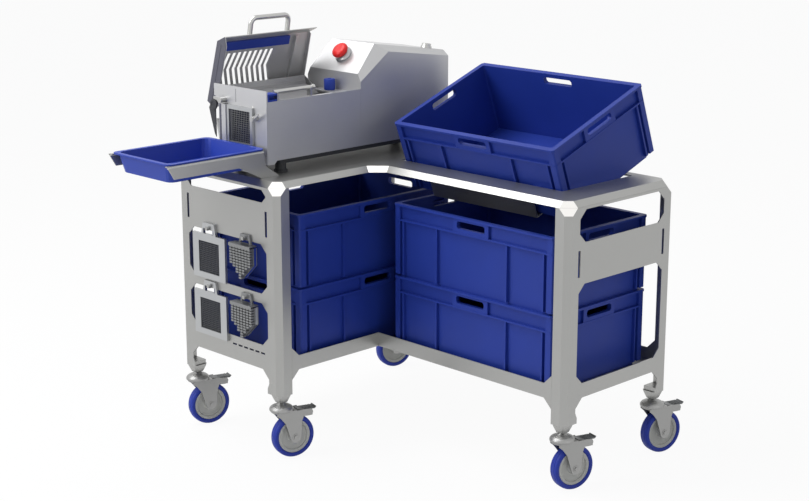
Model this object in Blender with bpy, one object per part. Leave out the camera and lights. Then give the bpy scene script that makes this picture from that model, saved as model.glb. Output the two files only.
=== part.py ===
"""Vegetable stick cutter: a cutting machine on an L-shaped trolley.

Metres, +Z up. The model is built with the inner corner of the L at X = 0,
Y = 0 and the floor at Z = 0. Wing A runs along Y and carries the machine,
wing B runs along +X and carries the tilted crate. At the end everything is
shifted so that the origin is at the middle of the bounding box, on the floor.
"""
from math import cos, pi, radians, sin, sqrt, tan

import bmesh
import bpy
from mathutils import Matrix, Vector
from mathutils.geometry import tessellate_polygon

# General sizes
GAP = 0.0003
OVERRUN = 0.010
SHEET = 0.003
THIN_SHEET = 0.0025
FLAT_ANGLE = 0.01
HALF_FOLD_ANGLE = 22.5

# Trolley frame
TABLE_HEADROOM = 0.0945
WING_A_SIDE_MARGIN = 0.040
WING_A_END_MARGIN = 0.230
WING_B_SIDE_MARGIN = 0.050
WING_B_END_MARGIN = 0.110
CHAMFER = 0.016
CORNER_PLATE_CUT = 0.035
INNER_CORNER_CUT = 0.036
POST_WIDTH = 0.046
POST_BOTTOM = 0.192
POST_FLARE = 0.007
POST_FLARE_HEIGHT = 0.030
POST_PAD_THICKNESS = 0.012
RAIL_BOTTOM = 0.260
RAIL_HEIGHT = 0.041
GUSSET = 0.026
SHELF_LEVEL = 0.2655

# End panels
LIP_HEIGHT = 0.008
WINDOW_CORNER = 0.024
LEFT_BAND_DROP = 0.060
LEFT_BAND_HEIGHT = 0.118
LEFT_UPPER_WINDOW_HEIGHT = 0.142
LEFT_MIDDLE_BAR_HEIGHT = 0.028
LEFT_LOWER_WINDOW_HEIGHT = 0.121
RIGHT_BAND_DROP = 0.112
RIGHT_BAND_HEIGHT = 0.112
VENT_WIDTH = 0.009
VENT_HEIGHT = 0.072
VENT_INSET = 0.046
PERFORATION_COUNT = 6
PERFORATION_LENGTH = 0.018
PERFORATION_HEIGHT = 0.005
PERFORATION_PITCH = 0.025
PERFORATION_LEVEL = 0.304
PERFORATION_START = 0.204
HOOK_WIDTH = 0.010
HOOK_REACH = 0.016
HOOK_UPSTAND = 0.010

# Crates
CRATE_LENGTH = 0.600
CRATE_WIDTH = 0.400
CRATE_HEIGHT = 0.220
CRATE_CORNER = 0.007
CRATE_RIM_THICKNESS = 0.006
CRATE_BAND_HEIGHT = 0.044
CRATE_FLANGE_THICKNESS = 0.005
CRATE_FLANGE_INSET = 0.002
CRATE_WALL_INSET = 0.011
CRATE_FOOT_INSET = 0.013
CRATE_NEST_INSET = 0.018
CRATE_NEST_STEP = 0.0075
CRATE_CAVITY_TOP_INSET = 0.0155
CRATE_CAVITY_FLOOR_INSET = 0.020
CRATE_CAVITY_CORNER = 0.004
CRATE_FLOOR = 0.011
CRATE_HOLE_WIDTH = 0.104
CRATE_HOLE_HEIGHT = 0.021
CRATE_HOLE_DROP = 0.012
CRATE_HOLE_CORNER = 0.005
CRATE_RIB_THICKNESS = 0.006
CRATE_RIB_INSET = 0.003
CRATE_RIB_SPACING = 0.262
CRATE_PILLAR_OFFSET = 0.038
CRATE_COLUMN_WIDTH = 0.022
CRATE_GRIP_WIDTH = 0.132

# Where the crates stand
STACK_A_FRONT_CLEARANCE = 0.006
STACK_A_INSET = 0.086
STACK_B_FRONT = 0.006
STACK_B_SIDE = 0.056
TILT_ANGLE = 20.3
TILTED_SIDE = -0.006
TILTED_FRONT = 0.0665
TILTED_REST_LENGTH = 0.128
RECESS_CLEARANCE = 0.006
CRADLE_START = 0.086
CRADLE_LENGTH = 0.394
CRADLE_FLOOR_LENGTH = 0.150
CRADLE_FLANGE = 0.016

# Casters
CASTER_INSET = 0.028
CASTER_ANGLE = 75.0
CASTER_TRAIL = 0.033
WHEEL_RADIUS = 0.0625
TYRE_DEPTH = 0.014
TYRE_WIDTH = 0.032
TYRE_SHOULDER = 0.007
CORE_WIDTH = 0.024
HUB_WIDTH = 0.036
HUB_RADIUS = 0.016
CORE_DISH = 0.007
AXLE_RADIUS = 0.006
AXLE_CLEARANCE = 0.0005
FORK_GAP = 0.040
FORK_TOP_WIDTH = 0.052
FORK_AXLE_WIDTH = 0.024
FORK_TOP = 0.142
HEAD_RADIUS = 0.036
HEAD_HEIGHT = 0.016
HEAD_NECK_SHARE = 0.7
HEAD_EDGE_SHARE = 0.45
STEM_RADIUS = 0.0095
STEM_COLLAR_RADIUS = 0.017
STEM_COLLAR_HEIGHT = 0.006
AXLE_END = 0.003
PEDAL_PIVOT_OUT = 0.044
PEDAL_PIVOT_DOWN = 0.006
PEDAL_PIN_RADIUS = 0.004
PEDAL_WIDTH = 0.030
PEDAL_REACH = 0.058
PEDAL_THICKNESS = 0.005
PEDAL_DROP = 0.012
PEDAL_TIP_RISE = 0.010
PEDAL_BEND_SHARE = 0.45
PEDAL_FLAT_SHARE = 0.8

# Machine body. Heights from here on are above the table top.
MACHINE_SIDE = 0.100
MACHINE_WIDTH = 0.230
MACHINE_FRONT = 0.324
MACHINE_SEAM = 0.028
MACHINE_BACK = 0.390
MACHINE_BOTTOM = 0.039
CHAMBER_SIDE_TOP = 0.205
CHAMBER_LEFT_TOP = 0.224
FRONT_PLATE_TOP = 0.235
FRONT_PLATE_THICKNESS = 0.004
FRONT_PLATE_LEFT_SETBACK = 0.020
FRONT_CURVE_HEIGHT = 0.170
FRONT_CURVE_ANGLE = 50
FRONT_TAB_WIDTH = 0.021
FRONT_TAB_DROP = 0.009
HOOD_SLOPE_START_HEIGHT = 0.239
HOOD_SIDE_START_HEIGHT = 0.225
HOOD_SIDE_CREST_DROP = 0.023
HOOD_SIDE_CREST_BACK = 0.139
HOOD_SIDE_REAR_DROP = 0.016
HOOD_CREST_HEIGHT = 0.326
HOOD_CREST_BACK = 0.106
HOOD_REAR_DROP = 0.042
HOOD_EDGE_WIDTH = 0.025
CHAMBER_OPENING_SIZE = 0.092
CHAMBER_OPENING_BOTTOM = 0.080
CHAMBER_CENTRE = 0.2105
TROUGH_LEVEL = 0.175
TROUGH_SHOULDER = 0.125
TROUGH_ENTRY_HEIGHT = 0.200
TROUGH_END_CLEARANCE = 0.014
TROUGH_RIM = 0.008
FOOT_RADIUS = 0.016
FOOT_PAD_RADIUS = 0.020
FOOT_PAD_HEIGHT = 0.008
FOOT_EDGE_SHARE = 0.6
FOOT_INSET = 0.028
FOOT_RAIL_WIDTH = 0.030
FOOT_RAIL_HEIGHT = 0.014
HINGE_SIDE = 0.320
HINGE_HEIGHT = 0.185
HINGE_ROD_RADIUS = 0.004
HINGE_CLEARANCE = 0.0004
SIDE_BOX_DEPTH = 0.017
SIDE_BOX_TOP = 0.130
SIDE_BOX_BOTTOM = 0.072
SIDE_BOX_TAPER = 0.012

# Lid, drawn open as in the photo, in the plane across the hinge
LID_FOOT = (-0.344, 0.163)
LID_KNEE = (-0.370, 0.179)
LID_SHOULDER = (-0.317, 0.354)
LID_EDGE = (-0.283, 0.368)
LID_DEPTH = 0.042
LID_END_CLEARANCE = 0.003
LID_EAR = 0.014
SLOT_COUNT = 9
SLOT_PITCH = 0.0196
SLOT_WIDTH = 0.0098
SLOT_FIRST = 0.028
SLOT_HALF_HEIGHT = 0.049
SLOT_MIDDLE = 0.092
SLOT_BEND = 0.016
HANDLE_RADIUS = 0.0074
HANDLE_LENGTH = 0.139
HANDLE_HEIGHT = 0.047
HANDLE_START = 0.102
HANDLE_BEND = 0.018
HANDLE_LEAN = 11.0
LID_STRIP_LENGTH = 0.256
LID_STRIP_HEIGHT = 0.026
LID_STRIP_THICKNESS = 0.008
LID_STRIP_START = 0.008
LID_STRIP_DROP = 0.0035

# Inside the chamber
ROD_RADIUS = 0.006
ROD_SIDE = 0.116
ROD_HEIGHT = 0.228
ROD_LENGTH = 0.140
ROD_TIP_LENGTH = 0.008
ROD_TIP_RADIUS = 0.008
ROD_BRACKET_THICKNESS = 0.006
REST_BAR_WIDTH = 0.012
REST_BAR_HEIGHT = 0.010
REST_BAR_LENGTH = 0.245
ROD_BLOCK_WIDTH = 0.030
ROD_BLOCK_LENGTH = 0.034
ROD_BLOCK_HEIGHT = 0.021
ROD_BLOCK_SLOT = 0.011
BUMPER_SIDE = 0.207
BUMPER_RADIUS = 0.0165
BUMPER_HEIGHT = 0.033
BUMPER_BOTTOM = 0.194
BUMPER_BACK = 0.004
PUSHER_SLOT = 0.0028
PUSHER_FINGER_DEPTH = 0.016
PUSHER_BODY_DEPTH = 0.020
PUSHER_CLEARANCE = 0.0012
PUSHER_LOW_SHARE = 1.6
PUSHER_SHOULDER_SHARE = 0.6
PUSHER_REST = 0.060
PUSHER_ROD_RADIUS = 0.010
PUSHER_ROD_LENGTH = 0.340
PUSHER_ROD_HEIGHT = 0.126
ROD_BORE_CLEARANCE = 0.0006
ROD_BORE_DEPTH = 0.290

# Knife frames, the one in the machine and the two exchange ones
FRAME_THICKNESS = 0.008
FRAME_LEFT_BORDER = 0.014
FRAME_RIGHT_BORDER = 0.011
FRAME_TOP_BORDER = 0.011
FRAME_BOTTOM_BORDER = 0.018
GRID_CELLS = 6
SPARE_GRID_CELLS = 5
GRID_BAR_WIDTH = 0.0022
GRID_DEPTH = 0.005
GRID_CLEARANCE = 0.0003
GUIDE_WIDTH = 0.014
GUIDE_DEPTH = 0.0112
CLAMP_RADIUS = 0.008
CLAMP_LENGTH = 0.020
CLAMP_LEVER_LENGTH = 0.030
CLAMP_LEVER_WIDTH = 0.009
CLAMP_LEVER_THICKNESS = 0.005
CLAMP_LEVER_SETBACK = 0.007
CLAMP_TIP_SHARE = 0.7
CLAMP_LEVEL = 0.156
SPARE_FRAME_LEFT = 0.366
SPARE_FRAME_WIDTH = 0.146
SPARE_OPENING_DROP = 0.021
SPARE_FRAME_TOP_DROP = 0.012
SPARE_FRAME_HEIGHT = 0.130
SPARE_TAB_WIDTH = 0.066
SPARE_TAB_TAPER = 0.008
SPARE_TAB_HEIGHT = 0.034
SPARE_TAB_HOLE_WIDTH = 0.046
SPARE_TAB_HOLE_HEIGHT = 0.016
SPARE_PUSHER_CENTRE = 0.132
SPARE_PUSHER_TOP_DROP = 0.008
SPARE_PUSHER_PLATE = 0.006
SPARE_PUSHER_CAP_DEPTH = 0.009
SPARE_PUSHER_LOOP_HEIGHT = 0.026
SPARE_PUSHER_LOOP_WIDTH = 0.054
SPARE_PUSHER_LOOP_BAR = 0.008

# Emergency stop and hood cap
STOP_SHARE = 0.57
STOP_BASE_RADIUS = 0.027
STOP_BASE_HEIGHT = 0.010
STOP_NECK_RADIUS = 0.013
STOP_HEAD_RADIUS = 0.0255
STOP_HEAD_HEIGHT = 0.016
STOP_TRAVEL = 0.005
STOP_BASE_EDGE_SHARE = 0.6
STOP_BASE_TOP_SHARE = 1.3
STOP_HEAD_UNDER_SHARE = 0.9
STOP_WIDEST_SHARE = 0.35
STOP_CURVE_SHARE = 0.7
STOP_SHOULDER_SHARE = 0.93
STOP_TOP_SHARE = 0.6
CAP_SIDE = 0.145
CAP_BACK = 0.340
CAP_RADIUS = 0.017
CAP_HEIGHT = 0.014
CAP_STEP_SHARE = 0.4
CAP_NECK_SHARE = 0.85
CAP_EDGE_SHARE = 0.9
CAP_TOP_SHARE = 0.7

# Tray and its bracket
TRAY_RIM_LEVEL = 0.080
TRAY_WIDTH = 0.258
TRAY_LENGTH = 0.330
TRAY_DEPTH = 0.054
TRAY_RIGHT = 0.092
TRAY_FRONT_CLEARANCE = 0.0125
TRAY_RIM_WIDTH = 0.010
TRAY_RIM_THICKNESS = 0.004
TRAY_TAPER = 0.011
TRAY_WALL = 0.003
TRAY_CORNER = 0.018
ARM_CLEARANCE = 0.004
ARM_FRONT_OVERHANG = 0.006
ARM_DEPTH = 0.036
ARM_NOSE_SLANT = 0.022
ARM_REAR = 0.345
LEG_START = 0.433
LEG_HEEL = 0.356
LEG_TOE = 0.293
LEG_TOP = 0.343
LEG_TOP_LEVEL = 0.034
CROSS_BAR_FRONT = 0.352
CROSS_BAR_WIDTH = 0.012
CROSS_BAR_HEIGHT = 0.014

# Facets round turned pieces
ROUND_SEGMENTS = 20
WHEEL_SEGMENTS = 16
SMALL_SEGMENTS = 12
TINY_SEGMENTS = 8

# Material colours: base colour, roughness, metallic
MATERIALS = {
    "frame_steel": ((0.62, 0.62, 0.60), 0.38, 0.9),
    "machine_steel": ((0.47, 0.48, 0.50), 0.30, 0.9),
    "blade_steel": ((0.55, 0.56, 0.58), 0.25, 1.0),
    "crate_blue": ((0.020, 0.040, 0.300), 0.45, 0.0),
    "tray_blue": ((0.020, 0.050, 0.380), 0.40, 0.0),
    "tyre_blue": ((0.030, 0.070, 0.420), 0.55, 0.0),
    "wheel_grey": ((0.45, 0.46, 0.47), 0.50, 0.0),
    "stop_red": ((0.750, 0.015, 0.015), 0.35, 0.0),
    "dark_plastic": ((0.030, 0.030, 0.035), 0.50, 0.0),
}

X_AXIS = Vector((1, 0, 0))
Y_AXIS = Vector((0, 1, 0))
Z_AXIS = Vector((0, 0, 1))
made = {}
materials = {}


def clear_scene():
    for old in list(bpy.data.objects):
        bpy.data.objects.remove(old, do_unlink=True)


def material(name):
    if name not in materials:
        colour, roughness, metallic = MATERIALS[name]
        made_material = bpy.data.materials.new(name)
        made_material.use_nodes = True
        shader = made_material.node_tree.nodes["Principled BSDF"]
        shader.inputs["Base Color"].default_value = (*colour, 1)
        shader.inputs["Roughness"].default_value = roughness
        shader.inputs["Metallic"].default_value = metallic
        materials[name] = made_material
    return materials[name]


# Basic solids, each a bmesh


def closed(bm):
    """Weld the seams and point every face outwards."""
    bmesh.ops.remove_doubles(bm, verts=bm.verts, dist=GAP / 100)
    bmesh.ops.recalc_face_normals(bm, faces=bm.faces)
    return bm


def block(low, high, cuts=()):
    """A box, with what lies outside each cutting plane (point, normal) off."""
    bm = bmesh.new()
    corners = []
    for x in (low[0], high[0]):
        for y in (low[1], high[1]):
            for z in (low[2], high[2]):
                corners.append(bm.verts.new((x, y, z)))
    bmesh.ops.convex_hull(bm, input=corners)
    bmesh.ops.dissolve_limit(bm, angle_limit=FLAT_ANGLE, verts=bm.verts, edges=bm.edges)
    for point, normal in cuts:
        geometry = bm.verts[:] + bm.edges[:] + bm.faces[:]
        cut = bmesh.ops.bisect_plane(
            bm, geom=geometry, plane_co=point, plane_no=normal, clear_outer=True)
        rim = [e for e in cut["geom_cut"] if isinstance(e, bmesh.types.BMEdge)]
        if rim:
            bmesh.ops.edgeloop_fill(bm, edges=rim)
    return closed(bm)


def plane_frame(origin, across, up):
    """The placing of a flat outline: its X runs across, its Y runs up."""
    across = Vector(across).normalized()
    up = Vector(up).normalized()
    placing = Matrix((across, up, across.cross(up))).transposed().to_4x4()
    placing.translation = Vector(origin)
    return placing


def plate(outline, thickness, placing, holes=()):
    """A flat plate with holes. Its outline lies on the placing's Z = 0."""
    bm = bmesh.new()
    loops = [[Vector((x, y, 0)) for x, y in loop] for loop in (outline, *holes)]
    points = [point for loop in loops for point in loop]
    sides = []
    for level in (0, thickness):
        sides.append([bm.verts.new(placing @ Vector((p.x, p.y, level))) for p in points])
    for triangle in tessellate_polygon(loops):
        for side in sides:
            bm.faces.new([side[i] for i in triangle])
    start = 0
    for loop in loops:
        count = len(loop)
        for i in range(count):
            a = start + i
            b = start + (i + 1) % count
            bm.faces.new((sides[0][a], sides[0][b], sides[1][b], sides[1][a]))
        start += count
    return closed(bm)


def loft(rings, ring_closed=False):
    """Skin a list of rings. The ends are capped, or joined to each other."""
    bm = bmesh.new()
    rows = [[bm.verts.new(point) for point in ring] for ring in rings]
    pairs = list(zip(rows, rows[1:]))
    if ring_closed:
        pairs.append((rows[-1], rows[0]))
    for one, two in pairs:
        count = len(one)
        for i in range(count):
            j = (i + 1) % count
            bm.faces.new((one[i], one[j], two[j], two[i]))
    if not ring_closed:
        bm.faces.new(rows[0])
        bm.faces.new(rows[-1])
    return closed(bm)


def turned(profile, placing, segments, hollow=False):
    """Turn (radius, height) points round the placing's Z axis."""
    rings = []
    for radius, height in profile:
        ring = []
        for i in range(segments):
            angle = 2 * pi * i / segments
            ring.append(placing @ Vector((radius * cos(angle), radius * sin(angle), height)))
        rings.append(ring)
    return loft(rings, ring_closed=hollow)


def rod(radius, start, end, segments=SMALL_SEGMENTS):
    """A cylinder between two points."""
    start = Vector(start)
    along = Vector(end) - start
    placing = along.to_track_quat("Z", "Y").to_matrix().to_4x4()
    placing.translation = start
    return turned([(radius, 0), (radius, along.length)], placing, segments)


def tube(path, radius, side, segments=TINY_SEGMENTS):
    """A round bar along a flat path. The side direction is across its plane."""
    path = [Vector(point) for point in path]
    side = Vector(side).normalized()
    rings = []
    for i, point in enumerate(path):
        before = path[max(i - 1, 0)]
        after = path[min(i + 1, len(path) - 1)]
        into = (point - before).normalized() if i else (after - point).normalized()
        out = (after - point).normalized() if i < len(path) - 1 else into
        along = (into + out).normalized()
        lift = along.cross(side) / max(along.dot(into), GAP)
        ring = []
        for k in range(segments):
            angle = 2 * pi * k / segments
            ring.append(point + radius * (cos(angle) * side + sin(angle) * lift))
        rings.append(ring)
    return loft(rings)


def arc(centre, radius, start, end, steps):
    """Points on an arc in a plane, from one angle to another, in degrees."""
    points = []
    for i in range(steps + 1):
        angle = radians(start + (end - start) * i / steps)
        points.append((centre[0] + radius * cos(angle), centre[1] + radius * sin(angle)))
    return points


def rounded(width, depth, radius, steps=2):
    """A rectangle with round corners, centred on zero."""
    x = width / 2 - radius
    y = depth / 2 - radius
    points = []
    for centre, start in (((x, y), 0), ((-x, y), 90), ((-x, -y), 180), ((x, -y), 270)):
        points += arc(centre, radius, start, start + 90, steps)
    return points


def cut_corners(left, bottom, right, top, corner):
    """A rectangle with its four corners cut at 45 degrees."""
    return [
        (left + corner, bottom), (right - corner, bottom), (right, bottom + corner),
        (right, top - corner), (right - corner, top), (left + corner, top),
        (left, top - corner), (left, bottom + corner)]


def inset_outline(points, distances):
    """Move each side of an outline inwards by its own distance."""
    count = len(points)
    lines = []
    for i in range(count):
        start = Vector(points[i])
        along = (Vector(points[(i + 1) % count]) - start).normalized()
        normal = Vector((-along.y, along.x))
        lines.append((start + normal * distances[i], along))
    moved = []
    for i in range(count):
        (p, d), (q, e) = lines[i - 1], lines[i]
        cross = d.x * e.y - d.y * e.x
        share = ((q.x - p.x) * e.y - (q.y - p.y) * e.x) / cross
        moved.append((p.x + d.x * share, p.y + d.y * share))
    return moved


def folded(line, thickness, placing, length):
    """Sheet folded along a line of points, and drawn out along the placing's Z."""
    points = [Vector(point) for point in line]
    sides = []
    for i, point in enumerate(points):
        into = (point - points[i - 1]).normalized() if i else None
        out = (points[i + 1] - point).normalized() if i < len(points) - 1 else into
        into = into or out
        middle = (into + out).normalized()
        normal = Vector((-middle.y, middle.x)) / middle.dot(into)
        sides.append(point + normal * thickness)
    outline = [tuple(p) for p in points] + [tuple(p) for p in reversed(sides)]
    return plate(outline, length, placing)


# Joining, cutting and naming


def temporary(bm):
    mesh = bpy.data.meshes.new("temporary")
    bm.to_mesh(mesh)
    bm.free()
    solid = bpy.data.objects.new("temporary", mesh)
    bpy.context.collection.objects.link(solid)
    return solid


def combined(solids, holes=()):
    """One mesh: the union of the solids, less the holes."""
    base = temporary(solids[0])
    others = [(temporary(bm), "UNION") for bm in solids[1:]]
    others += [(temporary(bm), "DIFFERENCE") for bm in holes]
    for other, operation in others:
        change = base.modifiers.new(operation, "BOOLEAN")
        change.operation = operation
        change.solver = "EXACT"
        change.object = other
    depsgraph = bpy.context.evaluated_depsgraph_get()
    mesh = bpy.data.meshes.new_from_object(base.evaluated_get(depsgraph))
    for used in [base] + [other for other, _ in others]:
        bpy.data.objects.remove(used, do_unlink=True)
    bm = bmesh.new()
    bm.from_mesh(mesh)
    bmesh.ops.remove_doubles(bm, verts=bm.verts, dist=GAP / 30)
    bmesh.ops.dissolve_degenerate(bm, edges=bm.edges, dist=GAP / 30)
    bm.to_mesh(mesh)
    bm.free()
    return mesh


def add(name, mesh, colour, pivot=(0, 0, 0), parent=None, local=False, smooth=False):
    """Name a mesh and put its origin on its pivot, under its parent."""
    pivot = Vector(pivot)
    if not local:
        mesh.transform(Matrix.Translation(-pivot))
    if smooth:
        mesh.shade_smooth()
        mesh.set_sharp_from_angle(angle=radians(35))
    if not mesh.materials:
        mesh.materials.append(material(colour))
    piece = bpy.data.objects.new(name, mesh)
    mesh.name = name
    bpy.context.collection.objects.link(piece)
    piece.location = pivot
    if parent:
        piece.parent = made[parent]
        piece.location = pivot - made[parent].location
    made[name] = piece
    return piece


# The trolley, laid out round the crates that it holds

TABLE_HEIGHT = SHELF_LEVEL + 2 * CRATE_HEIGHT + TABLE_HEADROOM
LEFT = -CRATE_WIDTH - WING_A_SIDE_MARGIN
RIGHT = CRATE_LENGTH + WING_B_END_MARGIN
BACK = CRATE_WIDTH + WING_B_SIDE_MARGIN
FRONT = BACK - CRATE_LENGTH - WING_A_END_MARGIN
STRIP_BOTTOM = TABLE_HEIGHT - CHAMFER
RAIL_TOP = RAIL_BOTTOM + RAIL_HEIGHT
LEFT_BAND_TOP = TABLE_HEIGHT - LEFT_BAND_DROP
LEFT_BAND_BOTTOM = LEFT_BAND_TOP - LEFT_BAND_HEIGHT
LEFT_MIDDLE_BAR_TOP = LEFT_BAND_BOTTOM - LEFT_UPPER_WINDOW_HEIGHT
LEFT_MIDDLE_BAR_BOTTOM = LEFT_MIDDLE_BAR_TOP - LEFT_MIDDLE_BAR_HEIGHT
LEFT_LOW_BAND_TOP = LEFT_MIDDLE_BAR_BOTTOM - LEFT_LOWER_WINDOW_HEIGHT
RIGHT_BAND_TOP = TABLE_HEIGHT - RIGHT_BAND_DROP
RIGHT_BAND_BOTTOM = RIGHT_BAND_TOP - RIGHT_BAND_HEIGHT


def table_outline():
    """The L seen from above, anticlockwise, with its corner plates cut."""
    q = CORNER_PLATE_CUT
    k = INNER_CORNER_CUT
    return [
        (LEFT + q, FRONT), (-q, FRONT), (0, FRONT + q), (0, -k), (k, 0),
        (RIGHT - q, 0), (RIGHT, q), (RIGHT, BACK - q), (RIGHT - q, BACK),
        (LEFT + q, BACK), (LEFT, BACK - q), (LEFT, FRONT + q)]


def strip_widths(straight, corner):
    """One distance for each side: corner plates differ from straight sides."""
    corners = (1, 5, 7, 9, 11)
    return [corner if i in corners else straight for i in range(12)]


def tilted_frame():
    """Origin at the tilted crate's front left rim corner; X, depth and up."""
    angle = radians(TILT_ANGLE)
    sunk = (CRATE_WIDTH - TILTED_REST_LENGTH) * sin(angle)
    rise = CRATE_HEIGHT * cos(angle) - sunk
    origin = Vector((TILTED_SIDE, TILTED_FRONT, TABLE_HEIGHT + rise))
    depth = Vector((0, cos(angle), sin(angle)))
    up = Vector((0, -sin(angle), cos(angle)))
    return origin, depth, up


def recess_limits():
    """Where the tilted crate goes through the table: front and back."""
    origin, depth, up = tilted_frame()
    front = origin + depth * CRATE_RIB_INSET
    down = (TABLE_HEIGHT - front.z) / up.z
    front_y = (front + up * down).y
    bottom = origin - up * CRATE_HEIGHT
    along = (TABLE_HEIGHT - bottom.z) / depth.z
    back_y = (bottom + depth * along).y
    return front_y - RECESS_CLEARANCE, back_y + RECESS_CLEARANCE


def recess_outline():
    front, back = recess_limits()
    left = TILTED_SIDE + CRATE_FLANGE_INSET - RECESS_CLEARANCE
    right = TILTED_SIDE + CRATE_LENGTH - CRATE_FLANGE_INSET + RECESS_CLEARANCE
    return [(left, front), (right, front), (right, back), (left, back)]


def table_top():
    """Folded L-shaped sheet: flat top, sloping strips and corner plates."""
    lower = table_outline()
    half = CHAMFER / sqrt(2)
    wall = SHEET * sqrt(2)
    fold = SHEET * tan(radians(HALF_FOLD_ANGLE))
    upper = inset_outline(lower, strip_widths(CHAMFER, half))
    inner_upper = inset_outline(lower, strip_widths(CHAMFER + fold, half + fold))
    inner_lower = inset_outline(lower, strip_widths(wall, wall))
    hole = recess_outline()
    bm = bmesh.new()

    def row(points, level):
        return [bm.verts.new((x, y, level)) for x, y in points]

    rows = [
        row(upper, TABLE_HEIGHT), row(lower, STRIP_BOTTOM),
        row(inner_lower, STRIP_BOTTOM), row(inner_upper, TABLE_HEIGHT - SHEET)]
    for one, two in zip(rows, rows[1:]):
        for i in range(12):
            j = (i + 1) % 12
            bm.faces.new((one[i], one[j], two[j], two[i]))
    holes = [row(hole, TABLE_HEIGHT), row(hole, TABLE_HEIGHT - SHEET)]
    for outline, ring, opening in (
            (upper, rows[0], holes[0]), (inner_upper, rows[3], holes[1])):
        verts = ring + opening
        loops = [[Vector((x, y, 0)) for x, y in loop] for loop in (outline, hole)]
        for triangle in tessellate_polygon(loops):
            bm.faces.new([verts[i] for i in triangle])
    for i in range(4):
        j = (i + 1) % 4
        bm.faces.new((holes[0][i], holes[0][j], holes[1][j], holes[1][i]))
    add("table_top", combined([closed(bm)]), "frame_steel")


def post_cuts(corners, offset):
    """Cutting planes for folded edges and corner plates at outer corners."""
    cuts = []
    for x, y, out_x, out_y in corners:
        edge = Vector((out_x, out_y, 0)).normalized()
        start = Vector((x, y, 0)) - edge * (CHAMFER / sqrt(2) + offset)
        cuts.append((start, edge))
        plate_normal = Vector((out_x, out_y, 1)).normalized()
        depth = (CHAMFER + CORNER_PLATE_CUT) / sqrt(3) + offset
        cuts.append((Vector((x, y, TABLE_HEIGHT)) - plate_normal * depth, plate_normal))
    return cuts


def corner_wrap(low, high, corners, opens):
    """A folded angle or channel: an outer block less an inner one.

    The sides named in opens, such as (0, 1), stay without sheet there.
    """
    outer = block((*low, POST_BOTTOM), (*high, STRIP_BOTTOM - GAP), post_cuts(corners, 0))
    inner_low = [low[0] + SHEET, low[1] + SHEET]
    inner_high = [high[0] - SHEET, high[1] - SHEET]
    for axis, side in opens:
        if side > 0:
            inner_high[axis] = high[axis] + OVERRUN
        else:
            inner_low[axis] = low[axis] - OVERRUN
    inner = block(
        (*inner_low, POST_BOTTOM - OVERRUN), (*inner_high, STRIP_BOTTOM + OVERRUN),
        post_cuts(corners, SHEET))
    return outer, inner


def foot_pad(x, y, out_x, out_y):
    """The solid pad that closes a post's foot and takes the caster."""
    size = POST_WIDTH
    xs = sorted((x - out_x * GAP, x - out_x * size))
    ys = sorted((y - out_y * GAP, y - out_y * size))
    edge = Vector((out_x, out_y, 0)).normalized()
    start = Vector((x, y, 0)) - edge * (CHAMFER / sqrt(2) + GAP)
    return block(
        (xs[0], ys[0], POST_BOTTOM), (xs[1], ys[1], POST_BOTTOM + POST_PAD_THICKNESS),
        [(start, edge)])


def window(axis, at, outline):
    """A cutter through an end panel: an outline in the panel's own plane."""
    if axis == "x":
        placing = plane_frame((0, at + OVERRUN, 0), X_AXIS, Z_AXIS)
    else:
        placing = plane_frame((at - OVERRUN, 0, 0), Y_AXIS, Z_AXIS)
    return plate(outline, 2 * OVERRUN, placing)


def vent(centre, middle):
    half = VENT_WIDTH / 2
    return [
        (centre - half, middle - VENT_HEIGHT / 2), (centre + half, middle - VENT_HEIGHT / 2),
        (centre + half, middle + VENT_HEIGHT / 2), (centre - half, middle + VENT_HEIGHT / 2)]


def below_rail(start, end):
    """The opening under a panel's low band, between its two posts."""
    g = GUSSET
    top = RAIL_BOTTOM
    neck = POST_BOTTOM + POST_FLARE_HEIGHT
    foot = POST_BOTTOM - OVERRUN
    return [
        (start + POST_FLARE, foot), (end - POST_FLARE, foot),
        (end - POST_FLARE, POST_BOTTOM + POST_FLARE_HEIGHT / 2), (end, neck),
        (end, top - g), (end - g, top), (start + g, top), (start, top - g),
        (start, neck), (start + POST_FLARE, POST_BOTTOM + POST_FLARE_HEIGHT / 2)]


def left_end_panel():
    """The panel that the exchange frames hang in, one folded sheet."""
    outer, inner = corner_wrap(
        (LEFT, FRONT), (0, FRONT + POST_WIDTH),
        ((LEFT, FRONT, -1, -1), (0, FRONT, 1, -1)), [(1, 1)])
    left = LEFT + POST_WIDTH
    right = -POST_WIDTH
    corner = WINDOW_CORNER
    vent_middle = (LEFT_BAND_BOTTOM + LEFT_BAND_TOP) / 2
    outlines = [
        cut_corners(left, LEFT_BAND_TOP, right, STRIP_BOTTOM - LIP_HEIGHT, LIP_HEIGHT * 2),
        cut_corners(left, LEFT_MIDDLE_BAR_TOP, right, LEFT_BAND_BOTTOM, corner),
        cut_corners(left, LEFT_LOW_BAND_TOP, right, LEFT_MIDDLE_BAR_BOTTOM, corner),
        vent(LEFT + VENT_INSET, vent_middle), vent(-VENT_INSET, vent_middle),
        below_rail(left, right)]
    for i in range(PERFORATION_COUNT):
        start = -PERFORATION_START + i * PERFORATION_PITCH
        low = PERFORATION_LEVEL
        outlines.append([
            (start, low), (start + PERFORATION_LENGTH, low),
            (start + PERFORATION_LENGTH, low + PERFORATION_HEIGHT),
            (start, low + PERFORATION_HEIGHT)])
    holes = [inner] + [window("x", FRONT, outline) for outline in outlines]
    pads = [foot_pad(LEFT, FRONT, -1, -1), foot_pad(0, FRONT, 1, -1)]
    panel = combined([outer], holes)
    shell = bmesh.new()
    shell.from_mesh(panel)
    add("left_end_panel", combined([shell] + pads + frame_hooks()), "frame_steel")


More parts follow.
